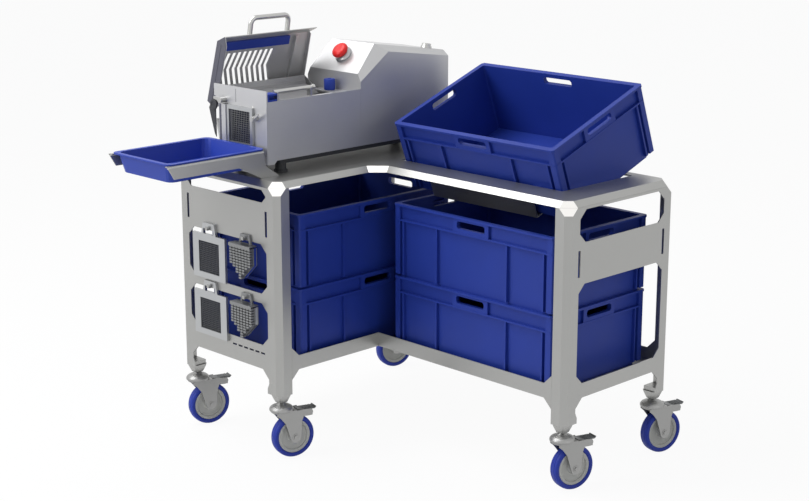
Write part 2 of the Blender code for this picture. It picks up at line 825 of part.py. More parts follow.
def frame_hooks():
    """Bent fingers behind the band, which the exchange tools hang on."""
    hooks = []
    for centre in (spare_frame_centre(), -SPARE_PUSHER_CENTRE):
        for band in (LEFT_BAND_BOTTOM, LEFT_MIDDLE_BAR_BOTTOM):
            root = FRONT + SHEET / 2
            tip = FRONT - HOOK_REACH
            low = band + SHEET
            line = [(root, low), (tip, low), (tip, low + HOOK_UPSTAND)]
            placing = plane_frame((centre - HOOK_WIDTH / 2, 0, 0), Y_AXIS, Z_AXIS)
            hooks.append(folded(line, -THIN_SHEET, placing, HOOK_WIDTH))
    return hooks


def right_end_panel():
    """The panel at the far end of wing B, one folded sheet."""
    outer, inner = corner_wrap(
        (RIGHT - POST_WIDTH, 0), (RIGHT, BACK),
        ((RIGHT, 0, 1, -1), (RIGHT, BACK, 1, 1)), [(0, -1)])
    near = POST_WIDTH
    far = BACK - POST_WIDTH
    corner = WINDOW_CORNER
    vent_middle = (RIGHT_BAND_BOTTOM + RIGHT_BAND_TOP) / 2
    outlines = [
        cut_corners(near, RIGHT_BAND_TOP, far, STRIP_BOTTOM - LIP_HEIGHT, corner),
        cut_corners(near, RAIL_TOP, far, RIGHT_BAND_BOTTOM, corner),
        vent(VENT_INSET, vent_middle), vent(BACK - VENT_INSET, vent_middle),
        below_rail(near, far)]
    holes = [inner] + [window("y", RIGHT, outline) for outline in outlines]
    pads = [foot_pad(RIGHT, 0, 1, -1), foot_pad(RIGHT, BACK, 1, 1)]
    shell = bmesh.new()
    shell.from_mesh(combined([outer], holes))
    add("right_end_panel", combined([shell] + pads), "frame_steel")


def back_post():
    """The fifth post, at the outer corner of the L."""
    outer, inner = corner_wrap(
        (LEFT, BACK - POST_WIDTH), (LEFT + POST_WIDTH, BACK),
        ((LEFT, BACK, -1, 1),), [(0, 1), (1, -1)])
    shell = bmesh.new()
    shell.from_mesh(combined([outer], [inner]))
    add("back_post", combined([shell, foot_pad(LEFT, BACK, -1, 1)]), "frame_steel")


def rail(start, end, gussets):
    """An upright rail's outline along one side, with gussets at its posts."""
    g = GUSSET
    low, high = RAIL_BOTTOM, RAIL_TOP
    outline = []
    if gussets[0]:
        outline += [(start, low - g), (start + g, low)]
    else:
        outline += [(start, low)]
    if gussets[1]:
        outline += [(end - g, low), (end, low - g), (end, high + g), (end - g, high)]
    else:
        outline += [(end, low), (end, high)]
    if gussets[0]:
        outline += [(start + g, high), (start, high + g)]
    else:
        outline += [(start, high)]
    return outline


def base_frame():
    """Bottom rails round the L and the shelf that the crates stand on."""
    clear = POST_WIDTH + GAP
    inside = SHEET / 2
    shelf = [
        (LEFT + inside, FRONT + clear), (-inside, FRONT + clear), (-inside, inside),
        (RIGHT - clear, inside), (RIGHT - clear, BACK - inside),
        (LEFT + clear, BACK - inside), (LEFT + clear, BACK - clear),
        (LEFT + inside, BACK - clear)]
    floor = plate(
        shelf, SHEET, plane_frame((0, 0, SHELF_LEVEL - SHEET - GAP), X_AXIS, Y_AXIS))
    rails = [
        plate(rail(-SHEET, RIGHT - clear, (False, True)), SHEET,
              plane_frame((0, SHEET, 0), X_AXIS, Z_AXIS)),
        plate(rail(FRONT + clear, SHEET, (True, False)), SHEET,
              plane_frame((-SHEET, 0, 0), Y_AXIS, Z_AXIS)),
        plate(rail(FRONT + clear, BACK - clear, (True, True)), SHEET,
              plane_frame((LEFT, 0, 0), Y_AXIS, Z_AXIS)),
        plate(rail(LEFT + clear, RIGHT - clear, (True, True)), SHEET,
              plane_frame((0, BACK, 0), X_AXIS, Z_AXIS))]
    add("base_frame", combined([floor] + rails), "frame_steel")


def crate_cradle():
    """Folded trough under the recess that the tilted crate leans into."""
    origin, depth, up = tilted_frame()
    low = origin - up * (CRATE_HEIGHT + GAP) + depth * (CRATE_FLANGE_INSET - GAP)
    reach = (TABLE_HEIGHT - SHEET - GAP - low.z) / up.z
    top = low + up * reach
    end = low + depth * CRADLE_FLOOR_LENGTH
    line = [
        (top.y - CRADLE_FLANGE, top.z), (top.y, top.z), (low.y, low.z), (end.y, end.z)]
    placing = plane_frame((CRADLE_START, 0, 0), Y_AXIS, Z_AXIS)
    add("crate_cradle", combined([folded(line, -SHEET, placing, CRADLE_LENGTH)]), "frame_steel")


# Crates


def crate_ring(inset, level, corner=CRATE_CORNER):
    points = rounded(CRATE_LENGTH - 2 * inset, CRATE_WIDTH - 2 * inset, corner, 1)
    return [(x, y, level) for x, y in points]


def crate_ribs():
    """Ribs and grip blocks on the sides, and a column at each corner."""
    solids = []
    low = CRATE_NEST_STEP + CRATE_RIM_THICKNESS
    band = CRATE_HEIGHT - CRATE_BAND_HEIGHT
    grip_low = band - CRATE_FLANGE_THICKNESS / 2
    grip_high = CRATE_HEIGHT - CRATE_RIM_THICKNESS / 2
    half = CRATE_RIB_THICKNESS / 2
    root = (CRATE_FOOT_INSET + CRATE_CAVITY_TOP_INSET) / 2
    for length, width, places in (
            (CRATE_LENGTH, CRATE_WIDTH, [-CRATE_RIB_SPACING / 2, CRATE_RIB_SPACING / 2]),
            (CRATE_WIDTH, CRATE_LENGTH, [])):
        pillar = length / 2 - CRATE_PILLAR_OFFSET
        spans = [(-CRATE_GRIP_WIDTH / 2, CRATE_GRIP_WIDTH / 2, grip_low, grip_high)]
        for place in places + [-pillar, pillar]:
            spans.append((place - half, place + half, low, band))
        for start, end, bottom, top in spans:
            for side in (-1, 1):
                face = sorted((side * (width / 2 - CRATE_RIB_INSET), side * (width / 2 - root)))
                if length == CRATE_LENGTH:
                    solids.append(block((start, face[0], bottom), (end, face[1], top)))
                else:
                    solids.append(block((face[0], start, bottom), (face[1], end, top)))
    return solids + corner_columns(low, grip_high, root)


def corner_columns(low, high, root):
    """An upright angle at each corner, nearly flush with the rim."""
    columns = []
    wide = CRATE_COLUMN_WIDTH
    thick = root - CRATE_RIB_INSET
    cut = CRATE_CORNER / 2
    shape = [
        (wide, 0), (cut, 0), (0, cut), (0, wide), (thick, wide), (thick, thick + cut),
        (thick + cut, thick), (wide, thick)]
    for side in (-1, 1):
        for end in (-1, 1):
            x = side * (CRATE_LENGTH / 2 - CRATE_RIB_INSET)
            y = end * (CRATE_WIDTH / 2 - CRATE_RIB_INSET)
            outline = [(x - side * along, y - end * across) for along, across in shape]
            columns.append(plate(outline, high - low, Matrix.Translation((0, 0, low))))
    return columns


def hand_holes():
    """Cutters for the hand hole in the middle of each side's band."""
    top = CRATE_HEIGHT - CRATE_HOLE_DROP
    outline = cut_corners(
        -CRATE_HOLE_WIDTH / 2, top - CRATE_HOLE_HEIGHT, CRATE_HOLE_WIDTH / 2, top,
        CRATE_HOLE_CORNER)
    depth = 2 * CRATE_CAVITY_TOP_INSET
    cutters = []
    for width, across in ((CRATE_WIDTH, X_AXIS), (CRATE_LENGTH, Y_AXIS)):
        out = across.cross(Z_AXIS)
        for start in (-width / 2 - OVERRUN, width / 2 + OVERRUN - depth):
            cutters.append(plate(outline, depth, plane_frame(out * start, across, Z_AXIS)))
    return cutters


def crate_mesh():
    """An open stacking crate, its base on Z = 0, centred on zero."""
    height = CRATE_HEIGHT
    band = height - CRATE_BAND_HEIGHT
    flange = band - CRATE_FLANGE_THICKNESS
    rim = height - CRATE_RIM_THICKNESS
    rings = [
        (CRATE_NEST_INSET, 0), (CRATE_NEST_INSET, CRATE_NEST_STEP),
        (CRATE_FOOT_INSET, CRATE_NEST_STEP), (CRATE_WALL_INSET, flange),
        (CRATE_FLANGE_INSET, flange), (CRATE_FLANGE_INSET, band),
        (CRATE_WALL_INSET, band), (CRATE_WALL_INSET, rim), (0, rim), (0, height)]
    skins = [crate_ring(inset, level) for inset, level in rings]
    for inset, level in (
            (CRATE_CAVITY_TOP_INSET, height), (CRATE_CAVITY_FLOOR_INSET, CRATE_FLOOR)):
        skins.append(crate_ring(inset, level, CRATE_CAVITY_CORNER))
    body = loft(skins)
    return combined([body] + crate_ribs(), hand_holes())


def crates():
    mesh = crate_mesh()
    pitch = CRATE_HEIGHT - CRATE_NEST_STEP + GAP
    half_length = CRATE_LENGTH / 2
    half_width = CRATE_WIDTH / 2
    stack_a = Vector((
        -STACK_A_FRONT_CLEARANCE - half_width, FRONT + STACK_A_INSET + half_length, SHELF_LEVEL))
    stack_b = Vector((STACK_B_SIDE + half_length, STACK_B_FRONT + half_width, SHELF_LEVEL))
    for name, place, turn in (
            ("crate_a_lower", stack_a, 90), ("crate_a_upper", stack_a + Z_AXIS * pitch, 90),
            ("crate_b_lower", stack_b, 0), ("crate_b_upper", stack_b + Z_AXIS * pitch, 0)):
        piece = add(name, mesh, "crate_blue", place, local=True)
        piece.rotation_euler.z = radians(turn)
    origin, depth, up = tilted_frame()
    base = origin - up * CRATE_HEIGHT + depth * half_width + X_AXIS * half_length
    piece = add("crate_tilted", mesh, "crate_blue", base, local=True)
    piece.rotation_euler.x = radians(TILT_ANGLE)


# Casters, drawn with the swivel axis on Z and the wheel trailing along +X


def fork_leg(side):
    """One side plate of the fork, from the head down to the axle."""
    top = FORK_TOP
    half_top = FORK_TOP_WIDTH / 2
    half_axle = FORK_AXLE_WIDTH / 2
    foot = arc((CASTER_TRAIL, WHEEL_RADIUS), half_axle, 205, 335, 4)
    outline = [(-half_top, top), (-half_top, top - HEAD_HEIGHT)] + foot
    outline += [
        (half_top + CASTER_TRAIL / 4, top - HEAD_HEIGHT),
        (PEDAL_PIVOT_OUT, top - 2 * PEDAL_PIVOT_DOWN),
        (PEDAL_PIVOT_OUT + PEDAL_PIVOT_DOWN, top - PEDAL_PIVOT_DOWN), (PEDAL_PIVOT_OUT, top)]
    inner = FORK_GAP / 2
    y = inner + SHEET if side > 0 else -inner
    return plate(outline, SHEET, plane_frame((0, y, 0), X_AXIS, Z_AXIS))


def caster_fork():
    half = FORK_GAP / 2 + SHEET
    top = FORK_TOP
    stem_top = POST_BOTTOM - GAP
    head = turned([
        (HEAD_RADIUS * HEAD_NECK_SHARE, top - SHEET / 2), (HEAD_RADIUS, top + SHEET),
        (HEAD_RADIUS, top + HEAD_HEIGHT * HEAD_EDGE_SHARE),
        (HEAD_RADIUS * HEAD_NECK_SHARE, top + HEAD_HEIGHT), (STEM_RADIUS, top + HEAD_HEIGHT),
        (STEM_RADIUS, stem_top - 2 * STEM_COLLAR_HEIGHT),
        (STEM_COLLAR_RADIUS, stem_top - STEM_COLLAR_HEIGHT), (STEM_COLLAR_RADIUS, stem_top)],
        Matrix(), SMALL_SEGMENTS)
    crown = block((-FORK_TOP_WIDTH / 2, -half, top - SHEET), (FORK_TOP_WIDTH / 2, half, top))
    axle = rod(
        AXLE_RADIUS, (CASTER_TRAIL, -half - AXLE_END, WHEEL_RADIUS),
        (CASTER_TRAIL, half + AXLE_END, WHEEL_RADIUS), TINY_SEGMENTS)
    pin = rod(
        PEDAL_PIN_RADIUS, (PEDAL_PIVOT_OUT, -half, top - PEDAL_PIVOT_DOWN),
        (PEDAL_PIVOT_OUT, half, top - PEDAL_PIVOT_DOWN), TINY_SEGMENTS)
    return combined([crown, head, fork_leg(-1), fork_leg(1), axle, pin])


def wheel_mesh():
    """Wheel disc with hub and bore, centred on its axle along Y."""
    core_radius = WHEEL_RADIUS - TYRE_DEPTH
    bore = AXLE_RADIUS + AXLE_CLEARANCE
    hub = HUB_WIDTH / 2
    rim = CORE_WIDTH / 2
    web = rim - CORE_DISH
    profile = [
        (bore, -hub), (HUB_RADIUS, -hub), (HUB_RADIUS, -web), (core_radius, -rim),
        (core_radius, rim), (HUB_RADIUS, web), (HUB_RADIUS, hub), (bore, hub)]
    placing = Matrix.Rotation(pi / 2, 4, "X")
    mesh = bpy.data.meshes.new("wheel")
    turned(profile, placing, WHEEL_SEGMENTS, hollow=True).to_mesh(mesh)
    return mesh


def tyre_mesh():
    """Rubber tyre with round shoulders, centred on its axle along Y."""
    inner = WHEEL_RADIUS - TYRE_DEPTH + GAP
    half = TYRE_WIDTH / 2
    rim = CORE_WIDTH / 2
    shoulder = TYRE_SHOULDER
    profile = [
        (inner, -rim), (WHEEL_RADIUS - shoulder, -half), (WHEEL_RADIUS, -half + shoulder),
        (WHEEL_RADIUS, half - shoulder), (WHEEL_RADIUS - shoulder, half), (inner, rim)]
    placing = Matrix.Rotation(pi / 2, 4, "X")
    mesh = bpy.data.meshes.new("tyre")
    turned(profile, placing, WHEEL_SEGMENTS, hollow=True).to_mesh(mesh)
    return mesh


def pedal_mesh():
    """Brake pedal, with its origin on its pin."""
    t = PEDAL_THICKNESS
    radius = PEDAL_PIN_RADIUS + AXLE_CLEARANCE
    knuckle = radius + t / 2
    reach = PEDAL_REACH
    bend = reach * PEDAL_BEND_SHARE
    flat = reach * PEDAL_FLAT_SHARE
    drop = PEDAL_DROP
    outline = [
        (knuckle, -t / 2), (bend, -drop), (flat, -drop),
        (reach, -drop + PEDAL_TIP_RISE), (reach - t / 2, -drop + PEDAL_TIP_RISE + t / 2),
        (flat - t / 2, -drop + t), (bend + t / 3, -drop + t), (knuckle, t / 2)]
    outline += arc((0, 0), knuckle, 60, 300, 4)
    bore = arc((0, 0), radius, 0, 315, 7)
    half = PEDAL_WIDTH / 2
    placing = plane_frame((0, half, 0), X_AXIS, Z_AXIS)
    return combined([plate(outline, PEDAL_WIDTH, placing, [bore])])


def casters():
    fork = caster_fork()
    wheel = wheel_mesh()
    tyre = tyre_mesh()
    pedal = pedal_mesh()
    turn = Matrix.Rotation(radians(CASTER_ANGLE), 4, "Z")
    inset = CASTER_INSET
    places = {
        "left_front": (LEFT + inset, FRONT + inset), "left_inner": (-inset, FRONT + inset),
        "right_front": (RIGHT - inset, inset), "right_back": (RIGHT - inset, BACK - inset),
        "left_back": (LEFT + inset, BACK - inset)}
    for where, (x, y) in places.items():
        swivel = Vector((x, y, 0))
        axle = swivel + turn @ Vector((CASTER_TRAIL, 0, WHEEL_RADIUS))
        pin = swivel + turn @ Vector((PEDAL_PIVOT_OUT, 0, FORK_TOP - PEDAL_PIVOT_DOWN))
        for kind, mesh, colour, place in (
                ("fork", fork, "frame_steel", swivel), ("wheel", wheel, "wheel_grey", axle),
                ("tyre", tyre, "tyre_blue", axle), ("brake", pedal, "frame_steel", pin)):
            if kind == "brake" and where == "left_back":
                continue
            piece = add(f"caster_{where}_{kind}", mesh, colour, place, local=True,
                        smooth=kind in ("wheel", "tyre"))
            piece.rotation_euler.z = radians(CASTER_ANGLE)


# The machine, drawn with its heights above the table top


def add_on_table(name, mesh, colour, pivot=(0, 0, 0), parent=None, smooth=False):
    mesh.transform(Matrix.Translation(Z_AXIS * TABLE_HEIGHT))
    add(name, mesh, colour, Vector(pivot) + Z_AXIS * TABLE_HEIGHT, parent, smooth=smooth)


SIDE = -MACHINE_SIDE
FAR_SIDE = -MACHINE_SIDE - MACHINE_WIDTH
NOSE = -MACHINE_FRONT
CENTRE = -CHAMBER_CENTRE
HOOD_REAR_HEIGHT = HOOD_CREST_HEIGHT - HOOD_REAR_DROP


def chamber_shell():
    """Right and left side sheets, bottom sheet and the side box."""
    inner_nose = NOSE + FRONT_PLATE_THICKNESS + GAP
    seam = MACHINE_SEAM - GAP
    t = SHEET
    tab_placing = plane_frame((SIDE - t, 0, 0), Y_AXIS, Z_AXIS)
    drop = MACHINE_BOTTOM - FRONT_TAB_DROP
    right_side = plate([
        (inner_nose, drop), (inner_nose + FRONT_TAB_WIDTH, drop),
        (inner_nose + FRONT_TAB_WIDTH + FRONT_TAB_DROP, MACHINE_BOTTOM), (seam, MACHINE_BOTTOM),
        (seam, CHAMBER_SIDE_TOP), (inner_nose, CHAMBER_SIDE_TOP)], t, tab_placing)
    end = TROUGH_END_CLEARANCE
    left_side = block(
        (FAR_SIDE, inner_nose + end, MACHINE_BOTTOM),
        (FAR_SIDE + t, seam - end, CHAMBER_LEFT_TOP))
    bottom = block(
        (FAR_SIDE + t / 2, inner_nose, MACHINE_BOTTOM), (SIDE - t / 2, seam, MACHINE_BOTTOM + t))
    box = plate([
        (FAR_SIDE + t / 2, SIDE_BOX_BOTTOM - SIDE_BOX_TAPER), (FAR_SIDE + t / 2, SIDE_BOX_TOP),
        (FAR_SIDE - SIDE_BOX_DEPTH, SIDE_BOX_TOP),
        (FAR_SIDE - SIDE_BOX_DEPTH, SIDE_BOX_TOP - SIDE_BOX_TAPER),
        (FAR_SIDE - t, SIDE_BOX_BOTTOM - SIDE_BOX_TAPER)],
        seam - end - inner_nose - end,
        plane_frame((0, seam - end, 0), X_AXIS, Z_AXIS))
    rest = block(
        (SIDE - t - REST_BAR_WIDTH, inner_nose, CHAMBER_SIDE_TOP - REST_BAR_HEIGHT),
        (SIDE - t / 2, inner_nose + REST_BAR_LENGTH, CHAMBER_SIDE_TOP))
    add_on_table("chamber_shell", combined([right_side, left_side, bottom, box, rest]), "machine_steel")


def trough():
    """Folded channel with a V bottom, which the product lies in."""
    half = CHAMBER_OPENING_SIZE / 2
    low = CHAMBER_OPENING_BOTTOM
    t = THIN_SHEET
    left = FAR_SIDE + SHEET + GAP + t
    right = SIDE - SHEET - GAP - t
    rim = CHAMBER_SIDE_TOP - REST_BAR_HEIGHT - GAP
    line = [
        (left, TROUGH_ENTRY_HEIGHT + TROUGH_RIM), (left, TROUGH_ENTRY_HEIGHT),
        (CENTRE - half, TROUGH_LEVEL),
        (CENTRE - half, TROUGH_SHOULDER), (CENTRE, low + GAP), (CENTRE + half, TROUGH_SHOULDER),
        (CENTRE + half, TROUGH_LEVEL),
        (right, rim - TROUGH_RIM), (right, rim)]
    start = NOSE + FRONT_PLATE_THICKNESS + TROUGH_END_CLEARANCE
    end = MACHINE_SEAM - TROUGH_END_CLEARANCE
    placing = plane_frame((0, end, 0), X_AXIS, Z_AXIS)
    add_on_table("chamber_trough", combined([folded(line, -t, placing, end - start)]), "machine_steel")


def front_plate():
    """The machine's nose: knife opening, frame guide and the clamp seats."""
    top = FRONT_PLATE_TOP
    low = MACHINE_BOTTOM - FRONT_TAB_DROP
    setback = FAR_SIDE + FRONT_PLATE_LEFT_SETBACK
    curve = arc(
        (FAR_SIDE - FRONT_PLATE_LEFT_SETBACK, FRONT_CURVE_HEIGHT), 2 * FRONT_PLATE_LEFT_SETBACK,
        0, FRONT_CURVE_ANGLE, 4)
    outline = [(setback, low), (SIDE, low), (SIDE, top), (FAR_SIDE, top)]
    outline += [(FAR_SIDE, curve[-1][1])] + list(reversed(curve))
    half = CHAMBER_OPENING_SIZE / 2
    hole = [
        (CENTRE - half, CHAMBER_OPENING_BOTTOM), (CENTRE + half, CHAMBER_OPENING_BOTTOM),
        (CENTRE + half, CHAMBER_OPENING_BOTTOM + CHAMBER_OPENING_SIZE),
        (CENTRE - half, CHAMBER_OPENING_BOTTOM + CHAMBER_OPENING_SIZE)]
    placing = plane_frame((0, NOSE + FRONT_PLATE_THICKNESS, 0), X_AXIS, Z_AXIS)
    panel = plate(outline, FRONT_PLATE_THICKNESS, placing, [hole])
    add_on_table("front_plate", combined([panel, frame_guide()]), "machine_steel")


def frame_guide():
    """Channel on the left of the opening that the knife frame slides in."""
    frame_left = CENTRE - CHAMBER_OPENING_SIZE / 2 - FRAME_LEFT_BORDER
    low = CHAMBER_OPENING_BOTTOM - FRAME_BOTTOM_BORDER
    high = CHAMBER_OPENING_BOTTOM + CHAMBER_OPENING_SIZE + FRAME_TOP_BORDER
    face = NOSE + FRONT_PLATE_THICKNESS / 2
    left = frame_left - GAP - GUIDE_WIDTH / 2
    line = [
        (left - GUIDE_WIDTH / 2, face), (left - GUIDE_WIDTH / 2, NOSE - GUIDE_DEPTH),
        (frame_left + GUIDE_WIDTH / 4, NOSE - GUIDE_DEPTH)]
    cap = folded(line, THIN_SHEET, plane_frame((0, 0, low), X_AXIS, Y_AXIS), high - low)
    return cap


def hood():
    """Drive housing behind the chamber, with its sloping front and edges."""
    side = SIDE
    far = FAR_SIDE
    edge = HOOD_EDGE_WIDTH
    seam = MACHINE_SEAM
    slope_start = Vector((0, seam - edge / 3, HOOD_SLOPE_START_HEIGHT))
    crest = Vector((0, HOOD_CREST_BACK, HOOD_CREST_HEIGHT))
    rear = Vector((0, MACHINE_BACK, HOOD_REAR_HEIGHT))
    cuts = []
    for one, two in ((slope_start, crest), (crest, rear)):
        along = two - one
        cuts.append((one, Vector((0, -along.z, along.y)).normalized()))
    for wall, inward in ((side, -1), (far, 1)):
        foot = Vector((wall, seam, HOOD_SIDE_START_HEIGHT))
        brow = Vector((wall, HOOD_SIDE_CREST_BACK, HOOD_CREST_HEIGHT - HOOD_SIDE_CREST_DROP))
        tail = Vector((wall, MACHINE_BACK, HOOD_REAR_HEIGHT - HOOD_SIDE_REAR_DROP))
        top = Vector((wall + inward * edge, HOOD_CREST_BACK, HOOD_CREST_HEIGHT))
        for one, two in ((foot, brow), (brow, tail)):
            normal = (two - one).cross(top - one).normalized()
            if normal.x * inward > 0:
                normal = -normal
            cuts.append((one, normal))
    body = block(
        (far, seam, MACHINE_BOTTOM), (side, MACHINE_BACK, HOOD_CREST_HEIGHT + edge), cuts)
    bore = rod(
        PUSHER_ROD_RADIUS + ROD_BORE_CLEARANCE, (CENTRE, seam - OVERRUN, PUSHER_ROD_HEIGHT),
        (CENTRE, seam + ROD_BORE_DEPTH, PUSHER_ROD_HEIGHT))
    add_on_table("drive_hood", combined([body], [bore]), "machine_steel")


def machine_base():
    """Two cross rails and two side rails with four round feet."""
    feet = []
    rail_top = MACHINE_BOTTOM - GAP
    rail_low = rail_top - FOOT_RAIL_HEIGHT
    floor = GAP
    half = FOOT_RAIL_WIDTH / 2
    xs = (FAR_SIDE + FOOT_INSET, SIDE - FOOT_INSET)
    ys = (NOSE + FRONT_TAB_WIDTH * 2 + FOOT_INSET, MACHINE_BACK - FOOT_INSET)
    for y in ys:
        feet.append(block((xs[0] - half, y - half, rail_low), (xs[1] + half, y + half, rail_top)))
    for x in xs:
        feet.append(block(
            (x - half, ys[0] - half / 2, rail_low), (x + half, ys[1] + half / 2,
                                                     rail_top - THIN_SHEET)))
        for y in ys:
            placing = Matrix.Translation((x, y, floor))
            feet.append(turned([
                (FOOT_PAD_RADIUS, 0), (FOOT_PAD_RADIUS, FOOT_PAD_HEIGHT * FOOT_EDGE_SHARE),
                (FOOT_RADIUS, FOOT_PAD_HEIGHT), (FOOT_RADIUS, rail_low - floor + THIN_SHEET)],
                placing, SMALL_SEGMENTS))
    add_on_table("machine_base", combined(feet), "dark_plastic")


def lid_point(share, depth=0.0):
    """A point on the open lid's panel: along it, and in from its skin."""
    knee = Vector(LID_KNEE)
    along = Vector(LID_SHOULDER) - knee
    inward = Vector((along.y, -along.x)).normalized()
    point = knee + along.normalized() * share + inward * depth
    return point


def lid():
    """Folded lid with chevron slots, end plates and its folded free edge."""
    start = NOSE + FRONT_PLATE_THICKNESS + LID_END_CLEARANCE
    end = MACHINE_SEAM - LID_END_CLEARANCE
    length = end - start
    hinge = Vector((-HINGE_SIDE, HINGE_HEIGHT))
    placing = plane_frame((0, end, 0), X_AXIS, Z_AXIS)
    skin = folded([LID_FOOT, LID_KNEE, LID_SHOULDER, LID_EDGE], -THIN_SHEET, placing, length)
    reach = (Vector(LID_SHOULDER) - Vector(LID_KNEE)).length
    ear = LID_EAR
    outline = [
        LID_KNEE, LID_FOOT, (hinge.x - ear / 2, hinge.y - ear), (hinge.x + ear, hinge.y - ear / 2),
        (hinge.x + ear, hinge.y + ear), tuple(lid_point(ear * 4, LID_DEPTH)),
        tuple(lid_point(reach, LID_DEPTH)), LID_EDGE, LID_SHOULDER]
    ends = []
    for back in (end, start + THIN_SHEET):
        ends.append(plate(outline, THIN_SHEET, plane_frame((0, back, 0), X_AXIS, Z_AXIS)))
    radius = HINGE_ROD_RADIUS + HINGE_CLEARANCE
    bore = rod(
        radius, (hinge.x, start - OVERRUN, hinge.y), (hinge.x, end + OVERRUN, hinge.y),
        SMALL_SEGMENTS)
    mesh = combined([skin] + ends, [bore] + lid_slots(start))
    add_on_table("lid", mesh, "machine_steel", (hinge.x, start, hinge.y))


def lid_slots(start):
    """Cutters for the chevron slots, along the lid's panel."""
    up = Vector(LID_SHOULDER) - Vector(LID_KNEE)
    up_axis = Vector((up.x, 0, up.y)).normalized()
    cutters = []
    for i in range(SLOT_COUNT):
        y = SLOT_FIRST + i * SLOT_PITCH
        low = SLOT_MIDDLE - SLOT_HALF_HEIGHT
        high = SLOT_MIDDLE + SLOT_HALF_HEIGHT
        w = SLOT_WIDTH
        bend = SLOT_BEND
        outline = [
            (y + bend, low), (y + bend + w, low), (y + w, SLOT_MIDDLE),
            (y + bend + w, high), (y + bend, high), (y, SLOT_MIDDLE)]
        base = Vector((LID_KNEE[0], start, LID_KNEE[1]))
        normal = Y_AXIS.cross(up_axis)
        placing = plane_frame(base - normal * OVERRUN, Y_AXIS, up_axis)
        cutters.append(plate(outline, 2 * OVERRUN, placing))
    return cutters


def lid_handle():
    """Bent bar handle on the lid's free edge."""
    lean = radians(HANDLE_LEAN)
    up = Vector((sin(lean), 0, cos(lean)))
    middle = (Vector(LID_SHOULDER) + Vector(LID_EDGE)) / 2
    start = NOSE + FRONT_PLATE_THICKNESS + LID_END_CLEARANCE + HANDLE_START
    flange = (Vector(LID_EDGE) - Vector(LID_SHOULDER)).normalized()
    normal = Vector((-flange.y, 0, flange.x))
    tip = HANDLE_RADIUS * sqrt(1 - normal.dot(up) ** 2)
    foot = Vector((middle.x, start, middle.y)) + up * ((GAP + tip) / normal.dot(up))
    bend = HANDLE_BEND
    rise = HANDLE_HEIGHT - bend
    path = [foot]
    corner = foot + up * rise + Y_AXIS * bend
    for i in range(4):
        angle = pi / 2 * i / 3
        path.append(corner - Y_AXIS * (bend * cos(angle)) + up * (bend * sin(angle)))
    far = foot + Y_AXIS * (HANDLE_LENGTH - bend) + up * rise
    for i in range(4):
        angle = pi / 2 * i / 3
        path.append(far + Y_AXIS * (bend * sin(angle)) + up * (bend * cos(angle)))
    path.append(foot + Y_AXIS * HANDLE_LENGTH)
    mesh = combined([tube(path, HANDLE_RADIUS, up.cross(Y_AXIS))])
    add_on_table("lid_handle", mesh, "frame_steel", foot, "lid", smooth=True)


def lid_strip():
    """Blue strip on the inside of the panel, under the free edge."""
    reach = (Vector(LID_SHOULDER) - Vector(LID_KNEE)).length
    t = THIN_SHEET + GAP
    high = reach - LID_STRIP_DROP
    points = [
        lid_point(high - LID_STRIP_HEIGHT, t), lid_point(high, t),
        lid_point(high, t + LID_STRIP_THICKNESS),
        lid_point(high - LID_STRIP_HEIGHT, t + LID_STRIP_THICKNESS)]
    back = NOSE + FRONT_PLATE_THICKNESS + LID_STRIP_START + LID_STRIP_LENGTH
    bar = plate([tuple(p) for p in points], LID_STRIP_LENGTH,
                plane_frame((0, back, 0), X_AXIS, Z_AXIS))
    add_on_table("lid_strip", combined([bar]), "tray_blue", (points[0].x, back, points[0].y), "lid")


def hinge_rod():
    start = NOSE + FRONT_PLATE_THICKNESS + GAP
    end = MACHINE_SEAM - GAP
    mesh = combined([rod(
        HINGE_ROD_RADIUS, (-HINGE_SIDE, start, HINGE_HEIGHT), (-HINGE_SIDE, end, HINGE_HEIGHT),
        TINY_SEGMENTS)])
    add_on_table("lid_hinge_rod", mesh, "frame_steel", smooth=True)


def guide_rod():
    """Rod along the chamber's right side, with its bracket and tip."""
    start = NOSE + FRONT_PLATE_THICKNESS + ROD_BLOCK_LENGTH + 2 * GAP
    end = start + ROD_LENGTH
    x = -ROD_SIDE
    bar = rod(ROD_RADIUS, (x, start, ROD_HEIGHT), (x, end, ROD_HEIGHT), TINY_SEGMENTS)
    tip = rod(
        ROD_TIP_RADIUS, (x, end - GAP, ROD_HEIGHT), (x, end + ROD_TIP_LENGTH, ROD_HEIGHT),
        TINY_SEGMENTS)
    half = ROD_BRACKET_THICKNESS / 2
    foot_level = CHAMBER_SIDE_TOP + GAP
    brackets = []
    for y in (start + ROD_BRACKET_THICKNESS, end - 2 * ROD_BRACKET_THICKNESS):
        brackets.append(block(
            (x - half, y - half, foot_level), (SIDE - SHEET - GAP, y + half, ROD_HEIGHT)))
    add_on_table("guide_rod", combined([bar, tip] + brackets), "machine_steel", smooth=True)


def rod_block():
    """Blue block with a slot, in the front corner above the right side."""
    start = NOSE + FRONT_PLATE_THICKNESS + GAP
    low = CHAMBER_SIDE_TOP + GAP
    width = ROD_BLOCK_WIDTH
    body = block(
        (SIDE - width, start, low), (SIDE, start + ROD_BLOCK_LENGTH, low + ROD_BLOCK_HEIGHT))
    margin = (ROD_BLOCK_HEIGHT - ROD_BLOCK_SLOT) / 2
    slot = block(
        (SIDE - width / 2, start + margin, low + margin),
        (SIDE + OVERRUN, start + ROD_BLOCK_LENGTH + OVERRUN, low + margin + ROD_BLOCK_SLOT))
    add_on_table("rod_block", combined([body], [slot]), "tray_blue")


